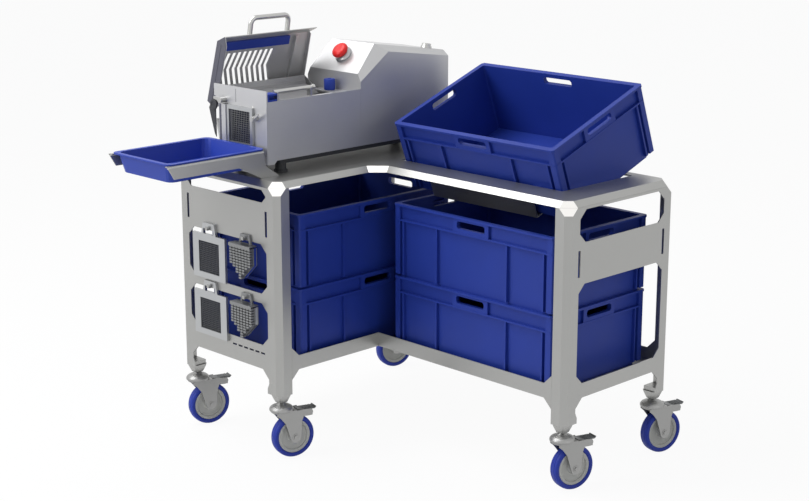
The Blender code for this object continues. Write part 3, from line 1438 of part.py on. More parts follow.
def bumper():
    """Blue round bumper at the back of the chamber, on its ledge."""
    x = -BUMPER_SIDE
    y = BUMPER_BACK
    top = BUMPER_BOTTOM + BUMPER_HEIGHT
    post = turned([
        (BUMPER_RADIUS - THIN_SHEET, BUMPER_BOTTOM), (BUMPER_RADIUS, BUMPER_BOTTOM + THIN_SHEET),
        (BUMPER_RADIUS, top - THIN_SHEET), (BUMPER_RADIUS - THIN_SHEET, top)],
        Matrix.Translation((x, y, 0)), ROUND_SEGMENTS)
    add_on_table("chamber_bumper", combined([post]), "tray_blue", smooth=True)
    low = BUMPER_BOTTOM - SHEET - GAP
    half = CHAMBER_OPENING_SIZE / 2 + OVERRUN
    ledge = block(
        (CENTRE - half, y - BUMPER_RADIUS, low), (CENTRE + half, MACHINE_SEAM - GAP, low + SHEET))
    add_on_table("bumper_ledge", combined([ledge]), "machine_steel")


def pusher_outline(clearance):
    """Square top and V bottom, as the trough."""
    half = CHAMBER_OPENING_SIZE / 2 - clearance
    low = CHAMBER_OPENING_BOTTOM + clearance * PUSHER_LOW_SHARE
    shoulder = TROUGH_SHOULDER + clearance * PUSHER_SHOULDER_SHARE
    return [
        (-half, TROUGH_LEVEL - clearance), (-half, shoulder), (0, low),
        (half, shoulder), (half, TROUGH_LEVEL - clearance)]


def finger_slots(x, face, level_top, count):
    """Cutters that part the pusher's face into upright fingers."""
    cutters = []
    half = PUSHER_SLOT / 2
    depth = (face - OVERRUN, face + PUSHER_FINGER_DEPTH)
    size = CHAMBER_OPENING_SIZE
    low = level_top - size - OVERRUN
    for i in range(1, count):
        middle = x + (i - count / 2) * size / count
        cutters.append(block(
            (middle - half, depth[0], low), (middle + half, depth[1], level_top + OVERRUN)))
    return cutters


def pusher():
    """Fingered head on its rod, at the back of the chamber."""
    outline = [(CENTRE + x, z) for x, z in pusher_outline(PUSHER_CLEARANCE)]
    outline.reverse()
    back = -PUSHER_REST
    depth = PUSHER_FINGER_DEPTH + PUSHER_BODY_DEPTH
    head = plate(outline, depth, plane_frame((0, back, 0), X_AXIS, Z_AXIS))
    slots = finger_slots(CENTRE, back - depth, CHAMBER_OPENING_BOTTOM + CHAMBER_OPENING_SIZE,
                         GRID_CELLS)
    add_on_table("pusher_head", combined([head], slots), "frame_steel",
        (CENTRE, back, PUSHER_ROD_HEIGHT))
    start = (CENTRE, back + GAP, PUSHER_ROD_HEIGHT)
    end = (CENTRE, back + PUSHER_ROD_LENGTH, PUSHER_ROD_HEIGHT)
    add_on_table("pusher_rod", combined([rod(PUSHER_ROD_RADIUS, start, end)]), "frame_steel",
        start, "pusher_head", smooth=True)


def knife_grid(centre_x, front, low, cells):
    """Crossed blades that fill a square opening."""
    size = CHAMBER_OPENING_SIZE - 2 * GRID_CLEARANCE
    left = centre_x - size / 2
    bottom = low + GRID_CLEARANCE
    bar = GRID_BAR_WIDTH
    cell = (size - bar) / cells
    holes = []
    for i in range(cells):
        for k in range(cells):
            x = left + bar + i * cell
            z = bottom + bar + k * cell
            side = cell - bar
            holes.append([(x, z), (x + side, z), (x + side, z + side), (x, z + side)])
    outline = [
        (left, bottom), (left + size, bottom), (left + size, bottom + size),
        (left, bottom + size)]
    placing = plane_frame((0, front + GRID_DEPTH, 0), X_AXIS, Z_AXIS)
    return combined([plate(outline, GRID_DEPTH, placing, holes)])


def machine_frame():
    """The knife frame in the machine, and its grid."""
    size = CHAMBER_OPENING_SIZE
    low = CHAMBER_OPENING_BOTTOM
    left = CENTRE - size / 2
    hole = [(left, low), (left + size, low), (left + size, low + size), (left, low + size)]
    frame_left = left - FRAME_LEFT_BORDER
    frame_right = left + size + FRAME_RIGHT_BORDER
    frame_low = low - FRAME_BOTTOM_BORDER
    frame_top = low + size + FRAME_TOP_BORDER
    outline = [
        (frame_left, frame_low), (frame_right, frame_low), (frame_right, frame_top),
        (frame_left, frame_top)]
    back = NOSE - GAP
    frame = plate(outline, FRAME_THICKNESS, plane_frame((0, back, 0), X_AXIS, Z_AXIS), [hole])
    pivot = (CENTRE, back, low)
    add_on_table("knife_frame", combined([frame]), "blade_steel", pivot)
    grid_front = back - FRAME_THICKNESS / 2 - GRID_DEPTH / 2
    add_on_table(
        "knife_grid",
        knife_grid(CENTRE, grid_front, low, GRID_CELLS),
        "blade_steel", pivot, "knife_frame")


def clamps():
    """Turning levers that hold the knife frame: one beside it, one above."""
    size = CHAMBER_OPENING_SIZE
    right = CENTRE + size / 2 + FRAME_RIGHT_BORDER + CLAMP_RADIUS + THIN_SHEET
    left = CENTRE - size / 2 - FRAME_LEFT_BORDER - CLAMP_RADIUS - THIN_SHEET
    top = CHAMBER_OPENING_BOTTOM + size + FRAME_TOP_BORDER + CLAMP_RADIUS + THIN_SHEET
    front = NOSE - GAP
    for name, x, z, lean in (
            ("clamp_right", right, CLAMP_LEVEL, 60), ("clamp_left", left, top, -80)):
        boss = rod(CLAMP_RADIUS, (x, front, z), (x, front - CLAMP_LENGTH, z), TINY_SEGMENTS)
        angle = radians(lean)
        out = Vector((sin(angle), 0, cos(angle)))
        across = out.cross(Y_AXIS)
        half = CLAMP_LEVER_WIDTH / 2
        tip = half * CLAMP_TIP_SHARE
        outline = [
            (0, -half), (CLAMP_LEVER_LENGTH, -tip), (CLAMP_LEVER_LENGTH, tip),
            (0, half)]
        base = Vector((x, front - CLAMP_LENGTH + CLAMP_LEVER_SETBACK, z))
        lever = plate(outline, CLAMP_LEVER_THICKNESS, plane_frame(base, out, across))
        add_on_table(name, combined([boss, lever]), "frame_steel", (x, front, z))


def spare_frame_centre():
    return -SPARE_FRAME_LEFT + SPARE_FRAME_WIDTH / 2


def spare_frames():
    """Exchange knife frames, hanging by their tabs in front of the panel."""
    centre = spare_frame_centre()
    half = SPARE_FRAME_WIDTH / 2
    size = CHAMBER_OPENING_SIZE
    tab = SPARE_TAB_WIDTH / 2
    taper = SPARE_TAB_TAPER
    for name, band in (("upper", LEFT_BAND_BOTTOM), ("lower", LEFT_MIDDLE_BAR_BOTTOM)):
        top = band - SPARE_FRAME_TOP_DROP
        low = top - SPARE_FRAME_HEIGHT
        tab_top = top + SPARE_TAB_HEIGHT
        hole_top = band + SHEET + THIN_SHEET + GAP
        outline = [
            (centre - half, low), (centre + half, low), (centre + half, top),
            (centre + tab, top), (centre + tab - taper, tab_top), (centre - tab + taper, tab_top),
            (centre - tab, top), (centre - half, top)]
        opening_top = top - SPARE_OPENING_DROP
        hole = [
            (centre - size / 2, opening_top - size), (centre + size / 2, opening_top - size),
            (centre + size / 2, opening_top), (centre - size / 2, opening_top)]
        slot = SPARE_TAB_HOLE_WIDTH / 2
        tab_hole = [
            (centre - slot, hole_top - SPARE_TAB_HOLE_HEIGHT),
            (centre + slot, hole_top - SPARE_TAB_HOLE_HEIGHT), (centre + slot, hole_top),
            (centre - slot, hole_top)]
        back = FRONT - GAP
        frame = plate(
            outline, FRAME_THICKNESS, plane_frame((0, back, 0), X_AXIS, Z_AXIS),
            [hole, tab_hole])
        pivot = (centre, back, low)
        add(f"spare_frame_{name}", combined([frame]), "blade_steel", pivot)
        grid_front = back - FRAME_THICKNESS / 2 - GRID_DEPTH / 2
        grid = knife_grid(centre, grid_front, opening_top - size, SPARE_GRID_CELLS)
        add(f"spare_grid_{name}", grid, "blade_steel", pivot, f"spare_frame_{name}")


def spare_pushers():
    """Exchange pusher blocks: top plate, loop and fingered body."""
    centre = -SPARE_PUSHER_CENTRE
    size = CHAMBER_OPENING_SIZE
    for name, band in (("upper", LEFT_BAND_BOTTOM), ("lower", LEFT_MIDDLE_BAR_BOTTOM)):
        top = band - SPARE_PUSHER_TOP_DROP
        drop = top - SPARE_PUSHER_PLATE - TROUGH_LEVEL
        outline = [(centre + x, z + drop) for x, z in pusher_outline(PUSHER_CLEARANCE)]
        outline.reverse()
        back = FRONT - GAP
        depth = PUSHER_FINGER_DEPTH + PUSHER_BODY_DEPTH / 2
        body = plate(outline, depth, plane_frame((0, back, 0), X_AXIS, Z_AXIS))
        cap = block(
            (centre - size / 2, back - depth - THIN_SHEET, top - SPARE_PUSHER_CAP_DEPTH),
            (centre + size / 2, back, top))
        wide = SPARE_PUSHER_LOOP_WIDTH / 2
        bar = SPARE_PUSHER_LOOP_BAR
        peak = top + SPARE_PUSHER_LOOP_HEIGHT
        narrow = wide - bar
        loop = [
            (centre - wide, top - THIN_SHEET), (centre + wide, top - THIN_SHEET),
            (centre + narrow, peak), (centre - narrow, peak)]
        inner_top = band + SHEET + THIN_SHEET + GAP
        gap_half = narrow - bar / 2
        eye = [
            (centre - wide + bar, top), (centre + wide - bar, top),
            (centre + gap_half, inner_top), (centre - gap_half, inner_top)]
        handle = plate(loop, SHEET * 2, plane_frame((0, back, 0), X_AXIS, Z_AXIS), [eye])
        slots = finger_slots(
            centre, back - depth, top - SPARE_PUSHER_PLATE, SPARE_GRID_CELLS)
        body_mesh = combined([body], slots)
        fingers = bmesh.new()
        fingers.from_mesh(body_mesh)
        add(f"spare_pusher_{name}", combined([fingers, cap, handle]), "blade_steel",
            (centre, back, top))


def emergency_stop():
    """Mushroom button on its round base, on the hood's slope."""
    edge = HOOD_EDGE_WIDTH
    foot = Vector((0, MACHINE_SEAM - edge / 3, HOOD_SLOPE_START_HEIGHT))
    crest = Vector((0, HOOD_CREST_BACK, HOOD_CREST_HEIGHT))
    along = (crest - foot).normalized()
    normal = Vector((0, -along.z, along.y))
    middle = foot.lerp(crest, STOP_SHARE)
    middle.x = (SIDE + FAR_SIDE) / 2
    placing = plane_frame(middle + normal * GAP, X_AXIS, along)
    base = turned([
        (STOP_NECK_RADIUS + GAP, 0), (STOP_BASE_RADIUS, 0),
        (STOP_BASE_RADIUS, STOP_BASE_HEIGHT * STOP_BASE_EDGE_SHARE),
        (STOP_NECK_RADIUS * STOP_BASE_TOP_SHARE, STOP_BASE_HEIGHT),
        (STOP_NECK_RADIUS + GAP, STOP_BASE_HEIGHT)], placing, ROUND_SEGMENTS, hollow=True)
    add_on_table("stop_base", combined([base]), "dark_plastic", smooth=True)
    under = STOP_BASE_HEIGHT + STOP_TRAVEL + GAP
    top = under + STOP_HEAD_HEIGHT
    neck_end = STOP_TRAVEL + GAP
    button = turned([
        (STOP_NECK_RADIUS, neck_end), (STOP_NECK_RADIUS, under), 
        (STOP_HEAD_RADIUS * STOP_HEAD_UNDER_SHARE, under),
        (STOP_HEAD_RADIUS, under + STOP_HEAD_HEIGHT * STOP_WIDEST_SHARE),
        (STOP_HEAD_RADIUS * STOP_SHOULDER_SHARE, under + STOP_HEAD_HEIGHT * STOP_CURVE_SHARE),
        (STOP_HEAD_RADIUS * STOP_TOP_SHARE, top)], placing, ROUND_SEGMENTS)
    add_on_table("stop_button", combined([button]), "stop_red", middle, smooth=True)


def hood_cap():
    """Round cap on the hood's top, near the back."""
    share = (CAP_BACK - HOOD_CREST_BACK) / (MACHINE_BACK - HOOD_CREST_BACK)
    level = HOOD_CREST_HEIGHT + (HOOD_REAR_HEIGHT - HOOD_CREST_HEIGHT) * share
    along = Vector((
        0, MACHINE_BACK - HOOD_CREST_BACK, HOOD_REAR_HEIGHT - HOOD_CREST_HEIGHT)).normalized()
    normal = X_AXIS.cross(along)
    foot = Vector((-CAP_SIDE, CAP_BACK, level)) + normal * GAP
    placing = plane_frame(foot, X_AXIS, along)
    step = CAP_HEIGHT * CAP_STEP_SHARE
    neck = CAP_RADIUS * CAP_NECK_SHARE
    cap = turned([
        (CAP_RADIUS, 0), (CAP_RADIUS, step), (neck, step),
        (neck, CAP_HEIGHT * CAP_EDGE_SHARE), (CAP_RADIUS * CAP_TOP_SHARE, CAP_HEIGHT)],
        placing, SMALL_SEGMENTS)
    add_on_table("hood_cap", combined([cap]), "frame_steel", smooth=True)


# Tray and bracket


def tray_place():
    """The middle of the tray's rim, seen from above."""
    y = NOSE - TRAY_FRONT_CLEARANCE - TRAY_LENGTH / 2
    x = -TRAY_RIGHT - TRAY_WIDTH / 2
    return x, y


def tray():
    """Tapered open tray with a flat rim."""
    x, y = tray_place()
    rim = TRAY_RIM_LEVEL
    under = rim - TRAY_RIM_THICKNESS
    low = rim - TRAY_DEPTH
    lip = TRAY_RIM_WIDTH
    taper = TRAY_TAPER
    wall = TRAY_WALL
    rings = [
        (lip + taper, low), (lip, under), (0, under), (0, rim),
        (lip + wall, rim), (lip + taper + wall, low + wall)]
    skins = []
    for inset, level in rings:
        points = rounded(
            TRAY_WIDTH - 2 * inset, TRAY_LENGTH - 2 * inset, TRAY_CORNER, 3)
        skins.append([(x + px, y + py, level) for px, py in points])
    add_on_table("product_tray", combined([loft(skins)]), "tray_blue", (x, y, low))


def tray_bracket():
    """Two arms with legs that stand on the table, joined by a cross bar."""
    x, y = tray_place()
    front = y - TRAY_LENGTH / 2 - ARM_FRONT_OVERHANG
    top = TRAY_RIM_LEVEL - TRAY_RIM_THICKNESS - GAP
    low = top - ARM_DEPTH
    outline = [
        (front, top), (front + ARM_NOSE_SLANT, low), (-LEG_START, low), (-LEG_HEEL, GAP),
        (-LEG_TOE, GAP), (-LEG_TOP, LEG_TOP_LEVEL), (-ARM_REAR, top)]
    solids = []
    inner = TRAY_WIDTH / 2 - TRAY_RIM_WIDTH + GAP * 4
    for side in (-1, 1):
        outer = x + side * (TRAY_WIDTH / 2 + ARM_CLEARANCE)
        start = outer if side < 0 else outer - SHEET
        solids.append(plate(outline, SHEET, plane_frame((start, 0, 0), Y_AXIS, Z_AXIS)))
        flange = sorted((outer - side * SHEET / 2, x + side * inner))
        solids.append(block(
            (flange[0], front + ARM_NOSE_SLANT / 8, top - SHEET), (flange[1], -ARM_REAR, top)))
    half = TRAY_WIDTH / 2 + ARM_CLEARANCE - SHEET / 2
    bar_top = TRAY_RIM_LEVEL - TRAY_DEPTH - 2 * GAP
    solids.append(block(
        (x - half, -CROSS_BAR_FRONT, LEG_TOP_LEVEL - CROSS_BAR_HEIGHT - CROSS_BAR_WIDTH),
        (x + half, -CROSS_BAR_FRONT + CROSS_BAR_WIDTH,
         min(LEG_TOP_LEVEL - CROSS_BAR_WIDTH, bar_top))))
    add_on_table("tray_bracket", combined(solids), "frame_steel")


def centre_on_floor():
    """Move everything so that the origin is below the middle of the box."""
    bpy.context.view_layer.update()
    low = Vector((float("inf"),) * 3)
    high = -low
    for piece in made.values():
        for vertex in piece.data.vertices:
            point = piece.matrix_world @ vertex.co
            low = Vector(map(min, low, point))
            high = Vector(map(max, high, point))
    shift = Vector(((low.x + high.x) / 2, (low.y + high.y) / 2, low.z))
    for piece in made.values():
        if piece.parent is None:
            piece.location -= shift


def main():
    clear_scene()
    table_top()
    left_end_panel()
    right_end_panel()
    back_post()
    base_frame()
    crate_cradle()
    crates()
    casters()
    chamber_shell()
    trough()
    front_plate()
    hood()
    machine_base()
    lid()
    lid_handle()
    lid_strip()
    hinge_rod()
    guide_rod()
    rod_block()
    bumper()
    pusher()
    machine_frame()
    clamps()
    spare_frames()
    spare_pushers()
    emergency_stop()
    hood_cap()
    tray()
    tray_bracket()
    centre_on_floor()


main()
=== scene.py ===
"""Looks for the vegetable stick cutter: camera, light, materials and detailed pieces.

Metres. Pieces are drawn in the build frame, whose origin is at the inner
corner of the L on the floor, and are then shifted to where the CAD stands.
"""
from math import cos, pi, radians, sin, sqrt

import bmesh
import bpy
from mathutils import Matrix, Vector
from mathutils.geometry import tessellate_polygon


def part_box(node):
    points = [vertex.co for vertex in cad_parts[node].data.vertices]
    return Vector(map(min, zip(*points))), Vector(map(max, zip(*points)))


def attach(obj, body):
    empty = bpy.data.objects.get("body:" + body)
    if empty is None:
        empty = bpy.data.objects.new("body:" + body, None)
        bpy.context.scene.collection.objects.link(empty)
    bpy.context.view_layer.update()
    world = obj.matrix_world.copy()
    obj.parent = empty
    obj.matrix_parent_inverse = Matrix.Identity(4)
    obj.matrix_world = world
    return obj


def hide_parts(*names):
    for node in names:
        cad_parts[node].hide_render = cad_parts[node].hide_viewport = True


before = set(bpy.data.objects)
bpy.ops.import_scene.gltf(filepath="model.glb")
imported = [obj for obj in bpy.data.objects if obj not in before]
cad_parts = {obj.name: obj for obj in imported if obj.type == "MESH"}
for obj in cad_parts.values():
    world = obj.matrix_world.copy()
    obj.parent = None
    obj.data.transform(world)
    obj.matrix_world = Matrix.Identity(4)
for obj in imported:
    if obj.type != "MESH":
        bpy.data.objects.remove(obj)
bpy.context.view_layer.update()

WING_A_REACH = 0.380
WING_B_REACH = 0.710
TABLE_HEIGHT = 0.800
X_AXIS = Vector((1, 0, 0))
Y_AXIS = Vector((0, 1, 0))
Z_AXIS = Vector((0, 0, 1))

table_low, table_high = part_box("table_top")
INNER_CORNER = Vector((
    table_high.x - WING_B_REACH, table_low.y + WING_A_REACH, table_high.z - TABLE_HEIGHT))


# Camera, floor and light

CAMERA_PLACE = (3.34184, -3.17748, 1.72483)
CAMERA_YAW = 45.50
CAMERA_PITCH = 14.31
CAMERA_LENS = 73.22
SENSOR = 36.0
SKY_COLOUR = (0.93, 0.96, 1, 1)
SKY_STRENGTH = 0.40
FLOOR_HALF = 14.0
FLOOR_COLOUR = (0.90, 0.90, 0.90, 1)
FLOOR_SHARE_LIT = 0.94
LAMP_TARGET = Vector((0, 0, 0.6))
# Name, place, width and power of each lamp
LAMPS = (
    ("key", (-1.6, -3.4, 2.6), 2.4, 62),
    ("top", (-1.3, -0.9, 3.6), 2.6, 78),
    ("side", (3.8, 0.4, 1.7), 2.4, 7),
)


def make_camera():
    """The photo's camera, solved in the build frame."""
    data = bpy.data.cameras.new("camera")
    data.lens = CAMERA_LENS
    data.sensor_width = SENSOR
    camera = bpy.data.objects.new("camera", data)
    bpy.context.collection.objects.link(camera)
    camera.location = INNER_CORNER + Vector(CAMERA_PLACE)
    camera.rotation_euler = (radians(90 - CAMERA_PITCH), 0, radians(CAMERA_YAW))
    bpy.context.scene.camera = camera


def make_lamp(name, place, size, power):
    """A round soft lamp that faces the machine."""
    data = bpy.data.lights.new(name, "AREA")
    data.shape = "DISK"
    data.size = size
    data.energy = power
    light = bpy.data.objects.new(name, data)
    bpy.context.collection.objects.link(light)
    light.location = place
    aim = LAMP_TARGET - Vector(place)
    light.rotation_euler = aim.to_track_quat("-Z", "Y").to_euler()


def seen_or_reflected(nodes, links):
    """1 for camera, glossy and transmission rays, else 0."""
    path = nodes.new("ShaderNodeLightPath")
    first = nodes.new("ShaderNodeMath")
    first.operation = "MAXIMUM"
    second = nodes.new("ShaderNodeMath")
    second.operation = "MAXIMUM"
    links.new(path.outputs["Is Camera Ray"], first.inputs[0])
    links.new(path.outputs["Is Glossy Ray"], first.inputs[1])
    links.new(first.outputs[0], second.inputs[0])
    links.new(path.outputs["Is Transmission Ray"], second.inputs[1])
    return second.outputs[0]


def make_world():
    """White behind the object and in its reflections, a dimmer sky elsewhere."""
    world = bpy.data.worlds.new("studio")
    bpy.context.scene.world = world
    world.use_nodes = True
    nodes, links = world.node_tree.nodes, world.node_tree.links
    nodes.clear()
    white = nodes.new("ShaderNodeBackground")
    white.inputs["Color"].default_value = (1, 1, 1, 1)
    soft = nodes.new("ShaderNodeBackground")
    soft.inputs["Color"].default_value = SKY_COLOUR
    soft.inputs["Strength"].default_value = SKY_STRENGTH
    mix = nodes.new("ShaderNodeMixShader")
    out = nodes.new("ShaderNodeOutputWorld")
    links.new(seen_or_reflected(nodes, links), mix.inputs["Fac"])
    links.new(soft.outputs[0], mix.inputs[1])
    links.new(white.outputs[0], mix.inputs[2])
    links.new(mix.outputs[0], out.inputs["Surface"])


def make_floor():
    """Plain pale floor that fades into the white behind it."""
    mesh = bpy.data.meshes.new("floor")
    h = FLOOR_HALF
    mesh.from_pydata([(-h, -h, 0), (h, -h, 0), (h, h, 0), (-h, h, 0)], [], [(0, 1, 2, 3)])
    floor = bpy.data.objects.new("floor", mesh)
    bpy.context.collection.objects.link(floor)
    mat = bpy.data.materials.new("floor_white")
    mat.use_nodes = True
    nodes, links = mat.node_tree.nodes, mat.node_tree.links
    nodes.clear()
    matt = nodes.new("ShaderNodeBsdfDiffuse")
    matt.inputs["Color"].default_value = FLOOR_COLOUR
    glow = nodes.new("ShaderNodeEmission")
    share = nodes.new("ShaderNodeMath")
    share.operation = "MULTIPLY"
    share.inputs[1].default_value = FLOOR_SHARE_LIT
    mix = nodes.new("ShaderNodeMixShader")
    out = nodes.new("ShaderNodeOutputMaterial")
    links.new(seen_or_reflected(nodes, links), share.inputs[0])
    links.new(share.outputs[0], mix.inputs["Fac"])
    links.new(matt.outputs[0], mix.inputs[1])
    links.new(glow.outputs[0], mix.inputs[2])
    links.new(mix.outputs[0], out.inputs["Surface"])
    mesh.materials.append(mat)


def make_studio():
    make_camera()
    make_world()
    make_floor()
    bpy.context.scene.view_settings.view_transform = "Standard"
    for row in LAMPS:
        make_lamp(*row)


# Materials

SPECULAR = 0.3
FINE_DETAIL = 4
BROAD_DETAIL = 3
BROAD_SHARE = 0.45
NOISE_LOW = 0.3
NOISE_HIGH = 0.7
RELIEF_STRENGTH = 0.6


def finish_nodes(name, colour, roughness, metallic, grain, blotch, spread, tint, bump,
                 stretch=(1, 1, 1)):
    """A Principled material whose colour, roughness and relief vary finely.

    grain and blotch are the fine and the broad noise, per metre. spread is
    how far roughness moves, tint how far the colour moves, bump is a depth.
    """
    mat = bpy.data.materials.new(name)
    mat.use_nodes = True
    nodes, links = mat.node_tree.nodes, mat.node_tree.links
    shader = nodes["Principled BSDF"]
    shader.inputs["Metallic"].default_value = metallic
    shader.inputs["Specular IOR Level"].default_value = SPECULAR
    coords = nodes.new("ShaderNodeTexCoord")
    mapping = nodes.new("ShaderNodeMapping")
    mapping.inputs["Scale"].default_value = stretch
    links.new(coords.outputs["Object"], mapping.inputs["Vector"])
    fine = nodes.new("ShaderNodeTexNoise")
    fine.inputs["Scale"].default_value = grain
    fine.inputs["Detail"].default_value = FINE_DETAIL
    links.new(mapping.outputs["Vector"], fine.inputs["Vector"])
    broad = nodes.new("ShaderNodeTexNoise")
    broad.inputs["Scale"].default_value = blotch
    broad.inputs["Detail"].default_value = BROAD_DETAIL
    links.new(coords.outputs["Object"], broad.inputs["Vector"])
    both = nodes.new("ShaderNodeMix")
    both.data_type = "FLOAT"
    both.inputs["Factor"].default_value = BROAD_SHARE
    links.new(fine.outputs["Fac"], both.inputs["A"])
    links.new(broad.outputs["Fac"], both.inputs["B"])
    ramp = nodes.new("ShaderNodeMapRange")
    ramp.inputs["From Min"].default_value = NOISE_LOW
    ramp.inputs["From Max"].default_value = NOISE_HIGH
    ramp.inputs["To Min"].default_value = roughness - spread
    ramp.inputs["To Max"].default_value = roughness + spread
    links.new(both.outputs["Result"], ramp.inputs["Value"])
    links.new(ramp.outputs["Result"], shader.inputs["Roughness"])
    tones = nodes.new("ShaderNodeValToRGB")
    dark, light = tones.color_ramp.elements
    dark.position = NOISE_LOW
    light.position = NOISE_HIGH
    dark.color = (*[c * (1 - tint) for c in colour], 1)
    light.color = (*[min(1, c * (1 + tint)) for c in colour], 1)
    links.new(both.outputs["Result"], tones.inputs["Fac"])
    links.new(tones.outputs["Color"], shader.inputs["Base Color"])
    relief = nodes.new("ShaderNodeBump")
    relief.inputs["Strength"].default_value = RELIEF_STRENGTH
    relief.inputs["Distance"].default_value = bump
    links.new(fine.outputs["Fac"], relief.inputs["Height"])
    links.new(relief.outputs["Normal"], shader.inputs["Normal"])
    return mat


# The values are those of finish_nodes, in its order
FINISHES = {
    "frame": ("trolley_steel", (0.40, 0.40, 0.39), 0.36, 0.86, 900, 9, 0.05, 0.03, 0.00003),
    "machine": (
        "machine_steel", (0.54, 0.54, 0.545), 0.42, 0.70, 700, 7, 0.05, 0.03, 0.00003,
        (1, 0.08, 1)),
    "bright": ("bright_steel", (0.50, 0.50, 0.49), 0.34, 1.0, 900, 14, 0.06, 0.04, 0.00003),
    "caster": ("caster_steel", (0.335, 0.335, 0.33), 0.42, 0.90, 900, 14, 0.06, 0.04, 0.00004),
    "pedal": ("pedal_steel", (0.13, 0.135, 0.14), 0.38, 0.90, 900, 14, 0.06, 0.06, 0.00004),
    "blade": ("blade_steel", (0.46, 0.47, 0.48), 0.34, 1.0, 900, 20, 0.08, 0.06, 0.00003),
    "comb": ("comb_steel", (0.16, 0.165, 0.175), 0.40, 0.9, 900, 20, 0.08, 0.06, 0.00003),
    "block": ("block_steel", (0.26, 0.265, 0.27), 0.40, 0.9, 900, 20, 0.08, 0.06, 0.00003),
    "flange": ("flange_steel", (0.60, 0.60, 0.575), 0.42, 0.35, 900, 14, 0.05, 0.03, 0.00003),
    "trough": ("trough_steel", (0.45, 0.45, 0.46), 0.60, 0.7, 700, 7, 0.05, 0.03, 0.00003),
    "lining": ("throat_plastic", (0.006, 0.007, 0.016), 0.80, 0.0, 900, 14, 0.05, 0.08, 0.00004),
    "crate": ("crate_plastic", (0.014, 0.039, 0.295), 0.50, 0.0, 1400, 12, 0.06, 0.08, 0.00008),
    "tray": ("tray_plastic", (0.021, 0.052, 0.365), 0.44, 0.0, 1400, 12, 0.05, 0.06, 0.00005),
    "tyre": ("tyre_rubber", (0.018, 0.040, 0.340), 0.50, 0.0, 1200, 30, 0.07, 0.10, 0.00010),
    "core": ("wheel_core", (0.53, 0.53, 0.50), 0.55, 0.0, 1200, 25, 0.06, 0.05, 0.00008),
    "red": ("stop_red", (0.78, 0.020, 0.020), 0.28, 0.0, 900, 30, 0.04, 0.04, 0.00003),
    # dark grey of the lid's end sheet, also used as painted shadow on the machine's front
    "dark_end_and_shadow": ("dark_end_and_painted_shadow", (0.105, 0.105, 0.130), 0.40, 0.0, 1200, 20, 0.05, 0.06, 0.00005),
    "ring": ("stop_ring_metal", (0.42, 0.42, 0.43), 0.30, 1.0, 900, 30, 0.05, 0.04, 0.00003),
    # dark grey, also used as painted shade on the hinge's cheek
    "dark": ("dark_plastic", (0.045, 0.046, 0.050), 0.50, 0.0, 1200, 20, 0.06, 0.12, 0.00008),
}
MATS = {key: finish_nodes(*values) for key, values in FINISHES.items()}

NODE_MATS = {
    "frame": (
        "table_top", "left_end_panel", "right_end_panel", "back_post", "base_frame",
        "crate_cradle", "tray_bracket"),
    "machine": (
        "chamber_shell", "front_plate", "drive_hood", "lid", "bumper_ledge"),
    "bright": (
        "lid_handle", "lid_hinge_rod", "guide_rod", "hood_cap", "clamp_right", "clamp_left",
        "pusher_rod", "pusher_head"),
    "blade": (
        "knife_frame", "knife_grid", "spare_frame_upper", "spare_frame_lower",
        "spare_grid_upper", "spare_grid_lower", "spare_pusher_upper", "spare_pusher_lower"),
    "crate": (
        "crate_a_lower", "crate_a_upper", "crate_b_lower", "crate_b_upper", "crate_tilted"),
    "tray": ("product_tray", "rod_block", "chamber_bumper", "lid_strip"),
    "trough": ("chamber_trough",),
    "red": ("stop_button",),
    "dark": ("stop_base", "machine_base"),
}
NO_PEDAL = "left_back"

EDGE_WIDTH = 0.0008
CRATE_EDGE = 0.0017
EDGE_STEPS = 2
EDGE_ANGLE = 30
SHARP_ANGLE = 38


def soften(piece, width):
    """Small rounded edges where faces meet at an angle."""
    edge = piece.modifiers.new("edge", "BEVEL")
    edge.width = width
    edge.segments = EDGE_STEPS
    edge.limit_method = "ANGLE"
    edge.angle_limit = radians(EDGE_ANGLE)


def paint(node, mat):
    """Give a CAD node its one material."""
    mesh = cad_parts[node].data
    mesh.materials.clear()
    mesh.materials.append(mat)


def dress_nodes():
    """Materials for all CAD nodes, soft edges for those that stay visible."""
    for key, names in NODE_MATS.items():
        for node in names:
            paint(node, MATS[key])
            soften(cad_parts[node], CRATE_EDGE if key == "crate" else EDGE_WIDTH)
    for where in ("left_front", "left_inner", "right_front", "right_back", "left_back"):
        for kind, key in (("fork", "caster"), ("wheel", "core"), ("tyre", "tyre")):
            paint(f"caster_{where}_{kind}", MATS[key])
        if where != NO_PEDAL:
            paint(f"caster_{where}_brake", MATS["pedal"])


# Mesh helpers: loft, block, turned, rod, tube and plate add a closed form to a bmesh

ROUND_STEPS = 32
FINE_STEPS = 64


def add(name, body, bm, mat, replaced=(), placing=None, edge=0.0):
    """Turn a bmesh into a piece that rides on a body."""
    bmesh.ops.recalc_face_normals(bm, faces=bm.faces)
    mesh = bpy.data.meshes.new(name)
    bm.to_mesh(mesh)
    bm.free()
    mesh.transform(placing if placing else Matrix.Translation(INNER_CORNER))
    mesh.materials.append(MATS[mat])
    for face in mesh.polygons:
        face.use_smooth = True
    mesh.set_sharp_from_angle(angle=radians(SHARP_ANGLE))
    piece = bpy.data.objects.new(name, mesh)
    bpy.context.collection.objects.link(piece)
    if edge:
        soften(piece, edge)
    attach(piece, body)
    if replaced:
        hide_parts(*replaced)
    return piece


def loft(bm, rings, ring_closed=False):
    """Skin from ring to ring, capped at both ends unless it closes on itself."""
    loops = [[bm.verts.new(point) for point in ring] for ring in rings]
    count = len(loops[0])
    pairs = list(zip(loops, loops[1:]))
    if ring_closed:
        pairs.append((loops[-1], loops[0]))
    for first, second in pairs:
        for i in range(count):
            k = (i + 1) % count
            bm.faces.new((first[i], first[k], second[k], second[i]))
    if not ring_closed:
        bm.faces.new(reversed(loops[0]))
        bm.faces.new(loops[-1])


